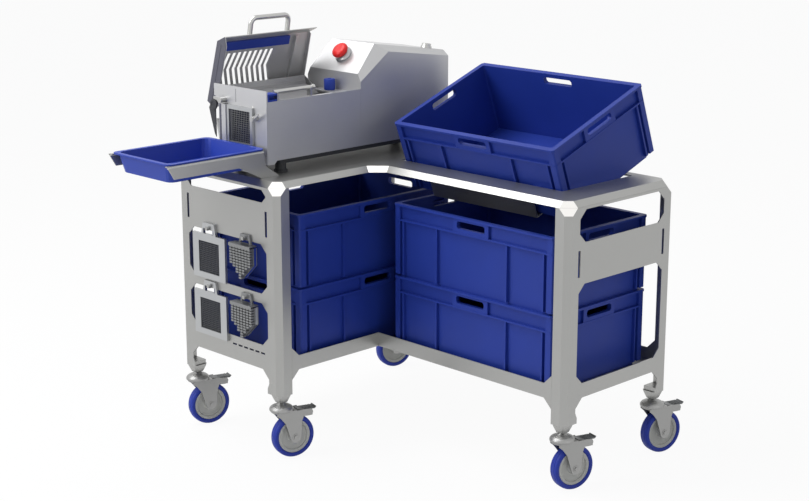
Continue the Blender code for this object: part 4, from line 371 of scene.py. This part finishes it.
def block(bm, low, high):
    """Box between its low and its high corner, used as a blade, pin or strip."""
    rings = []
    for z in (low[2], high[2]):
        rings.append([
            (low[0], low[1], z), (high[0], low[1], z), (high[0], high[1], z),
            (low[0], high[1], z)])
    loft(bm, rings)


def plane_frame(origin, across, up):
    """Places a drawing: its X along across, its Y along up."""
    normal = across.cross(up)
    placing = Matrix((across, up, normal)).transposed().to_4x4()
    placing.translation = origin
    return placing


def upright(y):
    """Places a drawing of X and Z in the upright plane at y, facing the front."""
    return plane_frame(Vector((0, y, 0)), X_AXIS, Z_AXIS)


def turned(bm, profile, placing, segments=ROUND_STEPS, hollow=False):
    """Profile of radius and height, turned about the drawing's own Z."""
    rings = []
    for radius, height in profile:
        ring = []
        for i in range(segments):
            angle = 2 * pi * i / segments
            ring.append(placing @ Vector((radius * cos(angle), radius * sin(angle), height)))
        rings.append(ring)
    loft(bm, rings, hollow)


def rod(bm, radius, start, end, segments=ROUND_STEPS, edge=0.0):
    """Round bar between two points, with its rims cut by edge."""
    start, end = Vector(start), Vector(end)
    axis = (end - start).normalized()
    side = axis.orthogonal().normalized()
    length = (end - start).length
    profile = [(radius, 0), (radius, length)]
    if edge:
        profile = [
            (radius - edge, 0), (radius, edge), (radius, length - edge),
            (radius - edge, length)]
    turned(bm, profile, plane_frame(start, side, axis.cross(side)), segments)


def tube(bm, path, radius, side, segments=ROUND_STEPS):
    """Bent round bar; its path lies in the plane square to side."""
    rings = []
    for i, point in enumerate(path):
        before = path[max(i - 1, 0)]
        after = path[min(i + 1, len(path) - 1)]
        across = (after - before).normalized().cross(side)
        ring = []
        for k in range(segments):
            angle = 2 * pi * k / segments
            ring.append(point + side * (radius * cos(angle)) + across * (radius * sin(angle)))
        rings.append(ring)
    loft(bm, rings)


def plate(bm, outline, thickness, placing, holes=()):
    """Sheet of an outline with holes, from the drawing plane along its normal."""
    loops = [list(outline)] + [list(hole) for hole in holes]
    flat = [[Vector((u, v, 0)) for u, v in loop] for loop in loops]
    triangles = tessellate_polygon(flat)
    levels = []
    for height in (0, thickness):
        verts = []
        for loop in loops:
            verts.append([bm.verts.new(placing @ Vector((u, v, height))) for u, v in loop])
        levels.append(verts)
    for verts in levels:
        pool = [vert for loop in verts for vert in loop]
        for triangle in triangles:
            bm.faces.new([pool[i] for i in triangle])
    for low, high in zip(*levels):
        for i in range(len(low)):
            k = (i + 1) % len(low)
            bm.faces.new((low[i], low[k], high[k], high[i]))


def arc(centre, radius, start, end, steps):
    """Points on an arc between two angles in degrees."""
    points = []
    for i in range(steps + 1):
        angle = radians(start + (end - start) * i / steps)
        points.append((centre[0] + radius * cos(angle), centre[1] + radius * sin(angle)))
    return points


# Casters, drawn with the swivel axis on Z and the wheel trailing along +X

CASTER_INSET = 0.028
CASTER_ANGLE = 75.0
WHEEL_RADIUS = 0.0625
AXLE = (0.033, WHEEL_RADIUS)
CORE_RADIUS = 0.0485
FORK_TOP = 0.142
CROWN_SHEET = 0.0040
LEG_INNER = 0.020
LEG_SHEET = 0.0030
ARM_INNER = 0.0157
ARM_SHEET = 0.0025
AXLE_RADIUS = 0.0055
WASHER_RADIUS = 0.0105
WASHER_THICKNESS = 0.0010
NUT_RADIUS = 0.0068
NUT_HEIGHT = 0.0030
POST_BOTTOM = 0.192
PEDAL_PIN = (0.044, 0.136)
PEDAL_PIN_RADIUS = 0.0036
ARM_BOLT = (0.0860, 0.1212)
ARM_BOLT_RADIUS = 0.0028
BOLT_OVERHANG = 0.0003
PEDAL_TIP = 0.102
PEDAL_WIDTH = 0.0290
PEDAL_RIBS = 6
PEDAL_RIB_START = 0.0660
PEDAL_RIB_PITCH = 0.0048
FRONT = -0.380
LEFT = -0.440
RIGHT = 0.710
BACK = 0.450
SWIVELS = {
    "left_front": (LEFT + CASTER_INSET, FRONT + CASTER_INSET),
    "left_inner": (-CASTER_INSET, FRONT + CASTER_INSET),
    "right_front": (RIGHT - CASTER_INSET, CASTER_INSET),
    "right_back": (RIGHT - CASTER_INSET, BACK - CASTER_INSET),
    "left_back": (LEFT + CASTER_INSET, BACK - CASTER_INSET),
}


def fork(bm):
    """Bearing head with stem, two legs, the pedal's arm, axle and bolts."""
    turned(bm, [
        (0.0320, 0.1425), (0.0342, 0.1440), (0.0346, 0.1475), (0.0335, 0.1505),
        (0.0300, 0.1545), (0.0240, 0.1580), (0.0165, 0.1605), (0.0120, 0.1640),
        (0.0095, 0.1680), (0.0095, 0.1855), (0.0160, 0.1862), (0.0166, 0.1917)], Matrix())
    crown = arc((0, 0), 0.030, 130, 230, 10) + [(0.038, -0.023), (0.038, 0.023)]
    plate(bm, crown, CROWN_SHEET, Matrix.Translation((0, 0, FORK_TOP - 0.0035)))
    leg = [(-0.023, 0.1405), (-0.023, 0.1330), (-0.012, 0.1240), (0.002, 0.1060)]
    leg += arc(AXLE, 0.0165, 188, 352, 14)
    leg += [(0.0530, 0.1080), (0.0575, 0.1180), (0.0575, 0.1405)]
    arm = [(0.0400, 0.1405), (0.0400, 0.1195), (0.0790, 0.1185)]
    arm += arc((0.0801, 0.1285), 0.0100, -90, 75, 10)
    for outline, inner, sheet in ((leg, LEG_INNER, LEG_SHEET), (arm, ARM_INNER, ARM_SHEET)):
        for y in (-inner, inner + sheet):
            plate(bm, outline, sheet, upright(y))
    outside = LEG_INNER + LEG_SHEET
    x, z = AXLE
    for end in (-1, 1):
        start = (x, end * outside, z)
        rod(bm, WASHER_RADIUS, start, (x, end * (outside + WASHER_THICKNESS), z), edge=0.0004)
        rod(bm, NUT_RADIUS, start, (x, end * (outside + NUT_HEIGHT), z), 6)
    rod(bm, AXLE_RADIUS, (x, -outside, z), (x, outside, z))
    reach = ARM_INNER + ARM_SHEET + BOLT_OVERHANG
    for (x, z), radius in ((PEDAL_PIN, PEDAL_PIN_RADIUS), (ARM_BOLT, ARM_BOLT_RADIUS)):
        rod(bm, radius, (x, -reach, z), (x, reach, z), 20, 0.0003)


def turned_on_axle(bm, half, segments):
    """Half of a rim's section, mirrored and turned about the wheel's axle."""
    profile = [(r, -y) for r, y in half] + [(r, y) for r, y in reversed(half)]
    axle = Vector((AXLE[0], 0, AXLE[1]))
    turned(bm, profile, plane_frame(axle, Z_AXIS, X_AXIS), segments, hollow=True)


def wheel(bm):
    """Grey core with stepped hub rings and a dished web."""
    turned_on_axle(bm, [
        (0.0065, 0.0180), (0.0115, 0.0180), (0.0122, 0.0172), (0.0128, 0.0140),
        (0.0165, 0.0136), (0.0174, 0.0128), (0.0182, 0.0070), (0.0240, 0.0062),
        (0.0360, 0.0064), (0.0392, 0.0076), (0.0405, 0.0112), (0.0418, 0.0120),
        (CORE_RADIUS, 0.0120)], FINE_STEPS)


def tyre(bm):
    """Blue rubber tyre with two fine grooves in its tread."""
    turned_on_axle(bm, [
        (0.0488, 0.0120), (0.0505, 0.0142), (0.0540, 0.0157), (0.0575, 0.0152),
        (0.0604, 0.0132), (0.0619, 0.0100), (0.0624, 0.0072), (0.0616, 0.0066),
        (0.0616, 0.0058), (WHEEL_RADIUS, 0.0052)], 80)


def pedal(bm):
    """Brake pedal: knuckle round its pin, ribbed foot plate, raised tip."""
    x, z = PEDAL_PIN
    top = [(x + 0.0035, z + 0.0050), (0.0600, 0.1392)]
    for i in range(PEDAL_RIBS):
        start = PEDAL_RIB_START + i * PEDAL_RIB_PITCH
        top += [(start, 0.1388), (start + 0.0010, 0.1404), (start + 0.0030, 0.1404),
                (start + 0.0040, 0.1388)]
    top += [(0.0970, 0.1392), (0.1005, 0.1420), (PEDAL_TIP, 0.1418)]
    under = [(PEDAL_TIP, 0.1398), (0.0975, 0.1352), (0.0600, 0.1352), (x + 0.0040, z - 0.0040)]
    outline = top + under + arc(PEDAL_PIN, 0.0060, 300, 60, 14)
    bore = arc(PEDAL_PIN, 0.0042, 0, 345, 23)
    plate(bm, outline, PEDAL_WIDTH, upright(PEDAL_WIDTH / 2), [bore])


def foot_flare(bm):
    """The post's folded foot, which narrows towards the caster's head."""
    rings = []
    for half, cut, z in (
            (0.0225, 0.0060, POST_BOTTOM), (0.0215, 0.0065, 0.1860), (0.0150, 0.0050, 0.1700),
            (0.0142, 0.0050, 0.1680), (0.0122, 0.0040, 0.1680), (0.0185, 0.0040, 0.1860),
            (0.0190, 0.0040, POST_BOTTOM)):
        near = half - cut
        ring = [
            (half, -near), (half, near), (near, half), (-near, half), (-half, near),
            (-half, -near), (-near, -half), (near, -half)]
        rings.append([(x, y, z) for x, y in ring])
    loft(bm, rings, ring_closed=True)


def make_casters():
    """Five casters; the back left one has no pedal."""
    turn = Matrix.Rotation(radians(CASTER_ANGLE), 4, "Z")
    for where, (x, y) in SWIVELS.items():
        swivel = Matrix.Translation(INNER_CORNER + Vector((x, y, 0)))
        for kind, shape, body, mat, edge in (
                ("fork", fork, "swivel", "caster", 0.0005),
                ("wheel", wheel, "wheel", "core", 0), ("tyre", tyre, "wheel", "tyre", 0),
                ("brake", pedal, "pedal", "pedal", 0.0003)):
            if kind == "brake" and where == NO_PEDAL:
                continue
            bm = bmesh.new()
            shape(bm)
            add(f"{where}_{kind}_piece", f"{where}_{body}", bm, mat,
                (f"caster_{where}_{kind}",), swivel @ turn, edge)
        bm = bmesh.new()
        foot_flare(bm)
        add(f"{where}_foot_flare", "trolley", bm, "frame", (), swivel, 0.0006)


# Knife grids and exchange tools

OPENING = 0.092
GRID_MARGIN = 0.0003
# Node, body, middle X, front Y, low Z, columns, rows, blade thickness and depth
GRIDS = (
    ("knife_grid", "knife_cassette", -0.2105, -0.3300, 0.880, 12, 15, 0.0010, 0.0010),
    ("spare_grid_upper", "spare_cassette_upper", -0.2930, -0.3868, 0.497, 14, 16, 0.0011, 0.0050),
    ("spare_grid_lower", "spare_cassette_lower", -0.2930, -0.3868, 0.327, 14, 16, 0.0011, 0.0050),
)


def make_grids():
    """Crossed thin blades; the upright ones stand a little forward."""
    size = OPENING - 2 * GRID_MARGIN
    for node, body, centre, front, low, columns, rows, blade, depth in GRIDS:
        bm = bmesh.new()
        left = centre - size / 2
        right = centre + size / 2
        bottom = low + GRID_MARGIN
        for i in range(columns + 1):
            x = left + (size - blade) * i / columns
            block(bm, (x, front, bottom), (x + blade, front + depth, bottom + size))
        for i in range(rows + 1):
            z = bottom + (size - blade) * i / rows
            block(bm, (left, front + blade / 2, z), (right, front + depth - blade / 4, z + blade))
        mat = "block" if node == "knife_grid" else "comb"
        add(f"{node}_piece", body, bm, mat, (node,))


V_DEPTH = 0.0936
V_SIDE = 0.0496
PUSHER_CENTRE = -0.132
PUSHER_FRONT = -0.4085
PIN_FRONT = -0.4060
PIN_BACK = -0.3935
FRONT_PLATE = (-0.3910, 0.0030)
BACK_PLATE = (-0.3803, 0.0027)
LAYER = (-0.38315, 0.0078)
PIN_COLUMNS = 7
PIN_ROWS = 12
PIN_WIDTH_SHARE = 0.40
PIN_HEIGHT_SHARE = 0.36
CAP_DROP = 0.0090
LOOP_SHEET = 0.0060
LOOP_HEIGHT = 0.026


def v_outline(centre, top, inset=0.0):
    """Square top and V bottom of a pusher, from its left edge down and round."""
    half = OPENING / 2 - inset
    return [
        (centre - half, top), (centre - half, top - V_SIDE), (centre, top - V_DEPTH + inset),
        (centre + half, top - V_SIDE), (centre + half, top)]


def trapezium(low, low_half, high, high_half):
    """Outline over the pusher's middle, with a half width for each level."""
    return [
        (PUSHER_CENTRE - low_half, low), (PUSHER_CENTRE + low_half, low),
        (PUSHER_CENTRE + high_half, high), (PUSHER_CENTRE - high_half, high)]


def pusher_pins(bm, under):
    """Rows of square pins, as many as the V leaves room for."""
    wide = OPENING / PIN_COLUMNS
    tall = V_DEPTH / PIN_ROWS
    half = Vector((wide * PIN_WIDTH_SHARE, tall * PIN_HEIGHT_SHARE))
    for column in range(PIN_COLUMNS):
        x = PUSHER_CENTRE + (column + 0.5 - PIN_COLUMNS / 2) * wide
        reach = V_DEPTH - abs(x - PUSHER_CENTRE) * (V_DEPTH - V_SIDE) / (OPENING / 2)
        for row in range(PIN_ROWS):
            z = under - (row + 0.5) * tall
            if under - z > reach - tall / 2:
                continue
            block(bm, (x - half.x, PIN_FRONT, z - half.y), (x + half.x, PIN_BACK, z + half.y))


def make_spare_pushers():
    """Exchange pushers: pins on a steel plate, a coloured layer, cap and loop."""
    left = PUSHER_CENTRE - OPENING / 2
    right = PUSHER_CENTRE + OPENING / 2
    back = BACK_PLATE[0]
    for where, top, mat in (("upper", 0.614, "tray"), ("lower", 0.444, "blade")):
        bm = bmesh.new()
        under = top - 0.0060
        outline = v_outline(PUSHER_CENTRE, under)
        for start, thick in (FRONT_PLATE, BACK_PLATE):
            plate(bm, outline, thick, upright(start))
        pusher_pins(bm, under)
        block(bm, (left, PUSHER_FRONT, top - CAP_DROP), (right, PIN_FRONT, top))
        block(bm, (left, PIN_FRONT - 0.0002, top - 0.0025), (right, back, top))
        loop = trapezium(top - 0.0020, 0.027, top + LOOP_HEIGHT, 0.019)
        eye = trapezium(top + 0.0005, 0.019, top + 0.0138, 0.015)
        plate(bm, loop, LOOP_SHEET, upright(back), [eye])
        body = f"spare_head_{where}"
        add(f"spare_pusher_{where}_piece", body, bm, "block", (f"spare_pusher_{where}",),
            edge=0.0003)
        bm = bmesh.new()
        start, thick = LAYER
        plate(bm, v_outline(PUSHER_CENTRE, under, 0.0005), thick, upright(start))
        add(f"spare_pusher_{where}_layer", body, bm, mat)


# Lid, handle and small machine parts

LID_FOOT = Vector((-0.344, 0.963))
LID_KNEE = Vector((-0.370, 0.979))
LID_SHOULDER = Vector((-0.317, 1.154))
LID_EDGE = Vector((-0.283, 1.168))
LID_FRONT = -0.317
LID_BACK = 0.025
LID_SHEET = 0.0025
LID_DEPTH = 0.0415
LID_RIB_WIDTH = 0.0090
LID_RIB_FRONT = -0.026
LID_END_SHEET = 0.0014
LID_END_RIDGE = 0.0022
SLOT_COUNT = 9
SLOT_PITCH = 0.0196
SLOT_WIDTH = 0.0098
SLOT_FIRST = 0.028
SLOT_BEND = 0.016
SLOT_MIDDLE = 0.092
SLOT_HALF = 0.049
HANDLE_RADIUS = 0.0074
HANDLE_LENGTH = 0.139
HANDLE_HEIGHT = 0.047
HANDLE_START = -0.215
HANDLE_BEND = 0.018
HANDLE_BEND_STEPS = 12
HANDLE_LEAN = 11.0


def lid_point(reach, depth):
    """A point at a distance up the open lid's panel, and in from its skin."""
    along = (LID_SHOULDER - LID_KNEE).normalized()
    inward = Vector((along.y, -along.x))
    return LID_KNEE + along * reach + inward * depth


def panel_sheet(bm, first, second, holes=()):
    """A sheet of the lid between two fold points, its outer face on them."""
    along = (second - first).normalized()
    up = Vector((along.x, 0, along.y))
    length = LID_BACK - LID_FRONT
    reach = (second - first).length
    placing = plane_frame(Vector((first.x, LID_FRONT, first.y)), Y_AXIS, up)
    outline = [(0, 0), (length, 0), (length, reach), (0, reach)]
    plate(bm, outline, LID_SHEET, placing, holes)


def chevrons():
    """The lid's slots, as drawn on its panel."""
    holes = []
    for i in range(SLOT_COUNT):
        y = SLOT_FIRST + i * SLOT_PITCH
        low = SLOT_MIDDLE - SLOT_HALF
        high = SLOT_MIDDLE + SLOT_HALF
        holes.append([
            (y + SLOT_BEND, low), (y + SLOT_BEND + SLOT_WIDTH, low),
            (y + SLOT_WIDTH, SLOT_MIDDLE), (y + SLOT_BEND + SLOT_WIDTH, high),
            (y + SLOT_BEND, high), (y, SLOT_MIDDLE)])
    return holes


def make_lid_parts():
    """The open lid: folded panel with slots, end plates, flange and a dark grey end sheet."""
    reach = (LID_SHOULDER - LID_KNEE).length
    bm = bmesh.new()
    panel_sheet(bm, LID_FOOT, LID_KNEE)
    panel_sheet(bm, LID_KNEE, LID_SHOULDER, chevrons())
    ear = [tuple(LID_KNEE), tuple(LID_FOOT), (-0.327, 0.971), (-0.306, 0.978), (-0.306, 0.999)]
    front = ear + [
        tuple(lid_point(0.060, LID_DEPTH)), tuple(lid_point(reach, LID_DEPTH)),
        tuple(LID_EDGE), tuple(LID_SHOULDER)]
    plate(bm, front, LID_SHEET, upright(LID_FRONT + LID_SHEET))
    rear = ear + [
        tuple(lid_point(0.050, 0.0160)), tuple(lid_point(reach - 0.004, 0.0100)),
        tuple(lid_point(reach, 0.0010))]
    plate(bm, rear, LID_SHEET, upright(LID_BACK))
    rib = [tuple(lid_point(s, d)) for s, d in (
        (0.020, 0.0020), (0.020, 0.0100), (reach - 0.012, 0.0150), (reach - 0.004, 0.0130),
        (reach - 0.006, 0.0020))]
    plate(bm, rib, LID_RIB_WIDTH, upright(LID_RIB_FRONT))
    add("lid_piece", "lid_body", bm, "machine", ("lid",), edge=0.0006)
    bm = bmesh.new()
    panel_sheet(bm, LID_SHOULDER, LID_EDGE)
    add("lid_flange", "lid_body", bm, "flange", edge=0.0006)
    # Dark grey sheet and ridge over the lid's front end plate
    bm = bmesh.new()
    plate(bm, front, LID_END_SHEET, upright(LID_FRONT))
    ridge = [tuple(lid_point(s, d)) for s, d in (
        (0.012, 0.017), (0.012, 0.0205), (reach - 0.004, 0.0205), (reach - 0.004, 0.017))]
    plate(bm, ridge, LID_END_RIDGE, upright(LID_FRONT))
    add("lid_dark_end", "lid_body", bm, "dark_end_and_shadow", edge=0.0004)
    make_handle()


def make_handle():
    """Bent bar that stands on the lid's flange and leans with the open lid."""
    lean = radians(HANDLE_LEAN)
    up = Vector((sin(lean), 0, cos(lean)))
    middle = (LID_SHOULDER + LID_EDGE) / 2
    flange = (LID_EDGE - LID_SHOULDER).normalized()
    normal = Vector((-flange.y, 0, flange.x))
    tip = HANDLE_RADIUS * sqrt(1 - normal.dot(up) ** 2)
    foot = Vector((middle.x, HANDLE_START, middle.y)) + up * (tip / normal.dot(up))
    rise = HANDLE_HEIGHT - HANDLE_BEND
    path = [foot, foot + up * (rise / 2)]
    near = foot + up * rise + Y_AXIS * HANDLE_BEND
    far = foot + Y_AXIS * (HANDLE_LENGTH - HANDLE_BEND) + up * rise
    for corner, first, last in ((near, 180, 90), (far, 90, 0)):
        for along, rise_by in arc((0, 0), HANDLE_BEND, first, last, HANDLE_BEND_STEPS):
            path.append(corner + Y_AXIS * along + up * rise_by)
    path += [foot + Y_AXIS * HANDLE_LENGTH + up * (rise / 2), foot + Y_AXIS * HANDLE_LENGTH]
    bm = bmesh.new()
    tube(bm, path, HANDLE_RADIUS, up.cross(Y_AXIS))
    add("lid_handle_piece", "lid_body", bm, "bright", ("lid_handle",))


HOOD_SLOPE_FOOT = Vector((-0.215, 0.028 - 0.025 / 3, TABLE_HEIGHT + 0.239))
HOOD_SLOPE_CREST = Vector((-0.215, 0.106, TABLE_HEIGHT + 0.326))
STOP_SHARE = 0.57
STOP_LIFT = 0.0003
BUMPER_PLACE = (-0.207, 0.004, 0)
ARM_SIDES = (-0.0905, -0.3515)
ARM_FRONT = -0.6700
ARM_BACK = -0.3460
ARM_TOP = 0.8722
ARM_EDGE_RADIUS = 0.0034
MACHINE_FRONT = -0.3240
CHEEK_START = -0.3172
CHEEK_SHEET = 0.0024
BOSS_PLACE = Vector((-0.3365, -0.3196, 0.9730))
THROAT_FRONT = -0.3196
THROAT_BACK = -0.3064
THROAT_LOW = 0.8770
THROAT_TOP = 0.9745
THROAT_MARGIN = 0.0012
THROAT_SHEET = 0.0010
MASK_HALF = 0.0520
MASK_LOW = 0.8760
MASK_TOP = 0.9800


def hood_point(share, lift):
    """A point on the hood's slope, and the way its surface looks."""
    along = (HOOD_SLOPE_CREST - HOOD_SLOPE_FOOT).normalized()
    normal = Vector((0, -along.z, along.y))
    middle = HOOD_SLOPE_FOOT.lerp(HOOD_SLOPE_CREST, share)
    return plane_frame(middle + normal * lift, X_AXIS, along)


def make_stop():
    """Red mushroom button on a metal ring."""
    placing = hood_point(STOP_SHARE, STOP_LIFT)
    bm = bmesh.new()
    turned(bm, [
        (0.0137, 0), (0.0270, 0), (0.0270, 0.0045), (0.0258, 0.0062), (0.0200, 0.0085),
        (0.0190, 0.0100), (0.0137, 0.0100)], placing, FINE_STEPS, hollow=True)
    add("stop_ring", "trolley", bm, "ring", ("stop_base",))
    bm = bmesh.new()
    turned(bm, [
        (0.0130, 0.0053), (0.0130, 0.0153), (0.0225, 0.0154), (0.0247, 0.0170),
        (0.0255, 0.0200), (0.0252, 0.0235), (0.0238, 0.0266), (0.0212, 0.0290),
        (0.0165, 0.0307), (0.0110, 0.0312), (0.0060, 0.0308), (0.0008, 0.0306)],
        placing, FINE_STEPS)
    add("stop_button_piece", "stop_press", bm, "red", ("stop_button",))


def make_bumper():
    """Blue rubber bumper that stands on its ledge in the chamber."""
    bm = bmesh.new()
    turned(bm, [
        (0.0120, 0.994), (0.0152, 0.9946), (0.0165, 0.9965), (0.0165, 1.0245),
        (0.0152, 1.0264), (0.0120, 1.0270), (0.0060, 1.0266), (0.0055, 1.0240)],
        Matrix.Translation(BUMPER_PLACE), 48)
    add("chamber_bumper_piece", "trolley", bm, "tray", ("chamber_bumper",))


def make_arm_edges():
    """Rolled upper edges of the tray's two arms."""
    bm = bmesh.new()
    for x in ARM_SIDES:
        rod(bm, ARM_EDGE_RADIUS, (x, ARM_FRONT, ARM_TOP), (x, ARM_BACK, ARM_TOP), edge=0.0010)
    add("arm_edges", "trolley", bm, "flange")


def make_hinge_side():
    """Dark round boss and tapered cheek at the hinge's front end; the cheek's dark colour is
    painted shade.
    """
    bm = bmesh.new()
    cheek = [
        (-0.3610, 0.9620), (-0.3560, 0.9450), (-0.3380, 0.8900), (-0.3310, 0.8800),
        (-0.3310, 0.9860), (-0.3450, 0.9860)]
    plate(bm, cheek, CHEEK_SHEET, upright(CHEEK_START))
    turned(bm, [
        (0.0155, 0), (0.0155, 0.0030), (0.0145, 0.0042), (0.0085, 0.0046), (0.0080, 0.0036),
        (0.0006, 0.0036)], plane_frame(BOSS_PLACE, X_AXIS, Z_AXIS), 48)
    add("hinge_side", "trolley", bm, "dark", edge=0.0003)


def make_throat():
    """Dark lining between the machine's front and its trough."""
    bm = bmesh.new()
    centre = GRIDS[0][2]
    half = OPENING / 2 + THROAT_MARGIN
    for side in (-1, 1):
        low, high = sorted((centre + side * half, centre + side * (half + THROAT_SHEET)))
        block(bm, (low, THROAT_FRONT, THROAT_LOW), (high, THROAT_BACK, THROAT_TOP))
    block(bm, (centre - half, THROAT_FRONT, THROAT_TOP),
          (centre + half, THROAT_BACK, THROAT_TOP + THROAT_SHEET))
    mask = [
        (centre - MASK_HALF, MASK_LOW), (centre + MASK_HALF, MASK_LOW),
        (centre + MASK_HALF, MASK_TOP), (centre - MASK_HALF, MASK_TOP)]
    mouth = v_outline(centre, THROAT_TOP, -0.0006)
    plate(bm, mask, THROAT_SHEET, upright(THROAT_BACK), [mouth])
    add("throat_lining", "trolley", bm, "lining")


# Painted shade in the trough's front half: where it ends, and its dark blue colour
TROUGH_SHADE_EDGE = (0, -0.165, 0.980)
TROUGH_SPECULAR = 0.1
TROUGH_SHADE_COLOUR = (0.006, 0.008, 0.035, 1)
TROUGH_METALLIC = 0.7


def paint_trough_shade(mat):
    """Painted shade: the trough's front half, below its rims, is painted dark blue and not
    metallic.
    """
    nodes, links = mat.node_tree.nodes, mat.node_tree.links
    shader = nodes["Principled BSDF"]
    shader.inputs["Specular IOR Level"].default_value = TROUGH_SPECULAR
    source = shader.inputs["Base Color"].links[0].from_socket
    coords = nodes.new("ShaderNodeTexCoord")
    split = nodes.new("ShaderNodeSeparateXYZ")
    links.new(coords.outputs["Object"], split.inputs[0])
    shaded = nodes.new("ShaderNodeMath")
    shaded.operation = "MULTIPLY"
    edge = INNER_CORNER + Vector(TROUGH_SHADE_EDGE)
    for i, (axis, limit) in enumerate((("Y", edge.y), ("Z", edge.z))):
        below = nodes.new("ShaderNodeMath")
        below.operation = "LESS_THAN"
        below.inputs[1].default_value = limit
        links.new(split.outputs[axis], below.inputs[0])
        links.new(below.outputs[0], shaded.inputs[i])
    mix = nodes.new("ShaderNodeMix")
    mix.data_type = "RGBA"
    mix.inputs["B"].default_value = TROUGH_SHADE_COLOUR
    links.new(shaded.outputs[0], mix.inputs["Factor"])
    links.new(source, mix.inputs["A"])
    links.new(mix.outputs["Result"], shader.inputs["Base Color"])
    metal_share = nodes.new("ShaderNodeMapRange")
    metal_share.inputs["To Min"].default_value = TROUGH_METALLIC
    metal_share.inputs["To Max"].default_value = 0.0
    links.new(shaded.outputs[0], metal_share.inputs["Value"])
    links.new(metal_share.outputs["Result"], shader.inputs["Metallic"])


# Painted highlight: the slanted corner plates are painted near white, picked out by their normal
CORNER_SLANT = 0.15
CORNER_LIFT = 0.25
CORNER_HIGHLIGHT_COLOUR = (0.93, 0.91, 0.88, 1)


def paint_corner_highlight(mat):
    """Painted highlight on the slanted corner plates: faces that face up, X and Y at once get a
    near-white colour.
    """
    nodes, links = mat.node_tree.nodes, mat.node_tree.links
    shader = nodes["Principled BSDF"]
    source = shader.inputs["Base Color"].links[0].from_socket
    geometry = nodes.new("ShaderNodeNewGeometry")
    split = nodes.new("ShaderNodeSeparateXYZ")
    links.new(geometry.outputs["True Normal"], split.inputs[0])
    steps = []
    for operation, first, second in (
            ("MULTIPLY", split.outputs["X"], split.outputs["Y"]), ("ABSOLUTE", 0, None),
            ("GREATER_THAN", 1, CORNER_SLANT), ("GREATER_THAN", split.outputs["Z"], CORNER_LIFT),
            ("MULTIPLY", 2, 3)):
        node = nodes.new("ShaderNodeMath")
        node.operation = operation
        for i, value in enumerate((first, second)):
            if value is None:
                continue
            if isinstance(value, int):
                links.new(steps[value].outputs[0], node.inputs[i])
            elif isinstance(value, float):
                node.inputs[i].default_value = value
            else:
                links.new(value, node.inputs[i])
        steps.append(node)
    mix = nodes.new("ShaderNodeMix")
    mix.data_type = "RGBA"
    mix.inputs["B"].default_value = CORNER_HIGHLIGHT_COLOUR
    links.new(steps[-1].outputs[0], mix.inputs["Factor"])
    links.new(source, mix.inputs["A"])
    links.new(mix.outputs["Result"], shader.inputs["Base Color"])


SCREW_PLACES = ((-0.1585, 0.984), (-0.1200, 0.846), (-0.3060, 0.846))
# Piece, how far it stands proud, low and high corner as X and Z, and material
FRONT_STRIPS = (
    ("front_seam", 0.0003, (-0.2336, 0.992), (-0.2326, 1.029), "dark"),
    # a dark strip of painted shadow beside the knife frame
    ("painted_shadow_strip", 0.0004, (-0.3080, 0.862), (-0.2745, 0.980), "dark_end_and_shadow"),
)
STRIP_SINK = 0.0001


def make_front_details():
    """Screw heads, the fold line and a dark strip of painted shadow beside the knife frame, on
    the machine's front.
    """
    bm = bmesh.new()
    for x, z in SCREW_PLACES:
        placing = plane_frame(Vector((x, MACHINE_FRONT, z)), X_AXIS, Z_AXIS)
        turned(bm, [(0.0042, 0), (0.0042, 0.0010), (0.0030, 0.0020), (0.0006, 0.0022)],
               placing, 24)
    add("front_screws", "trolley", bm, "bright")
    for name, proud, low, high, mat in FRONT_STRIPS:
        bm = bmesh.new()
        block(bm, (low[0], MACHINE_FRONT - proud, low[1]),
              (high[0], MACHINE_FRONT + STRIP_SINK, high[1]))
        add(name, "trolley", bm, mat)


make_studio()
dress_nodes()
make_casters()
make_grids()
make_spare_pushers()
make_lid_parts()
make_stop()
make_bumper()
make_arm_edges()
make_hinge_side()
make_throat()
make_front_details()
paint_corner_highlight(MATS["frame"])
paint_trough_shade(MATS["trough"])
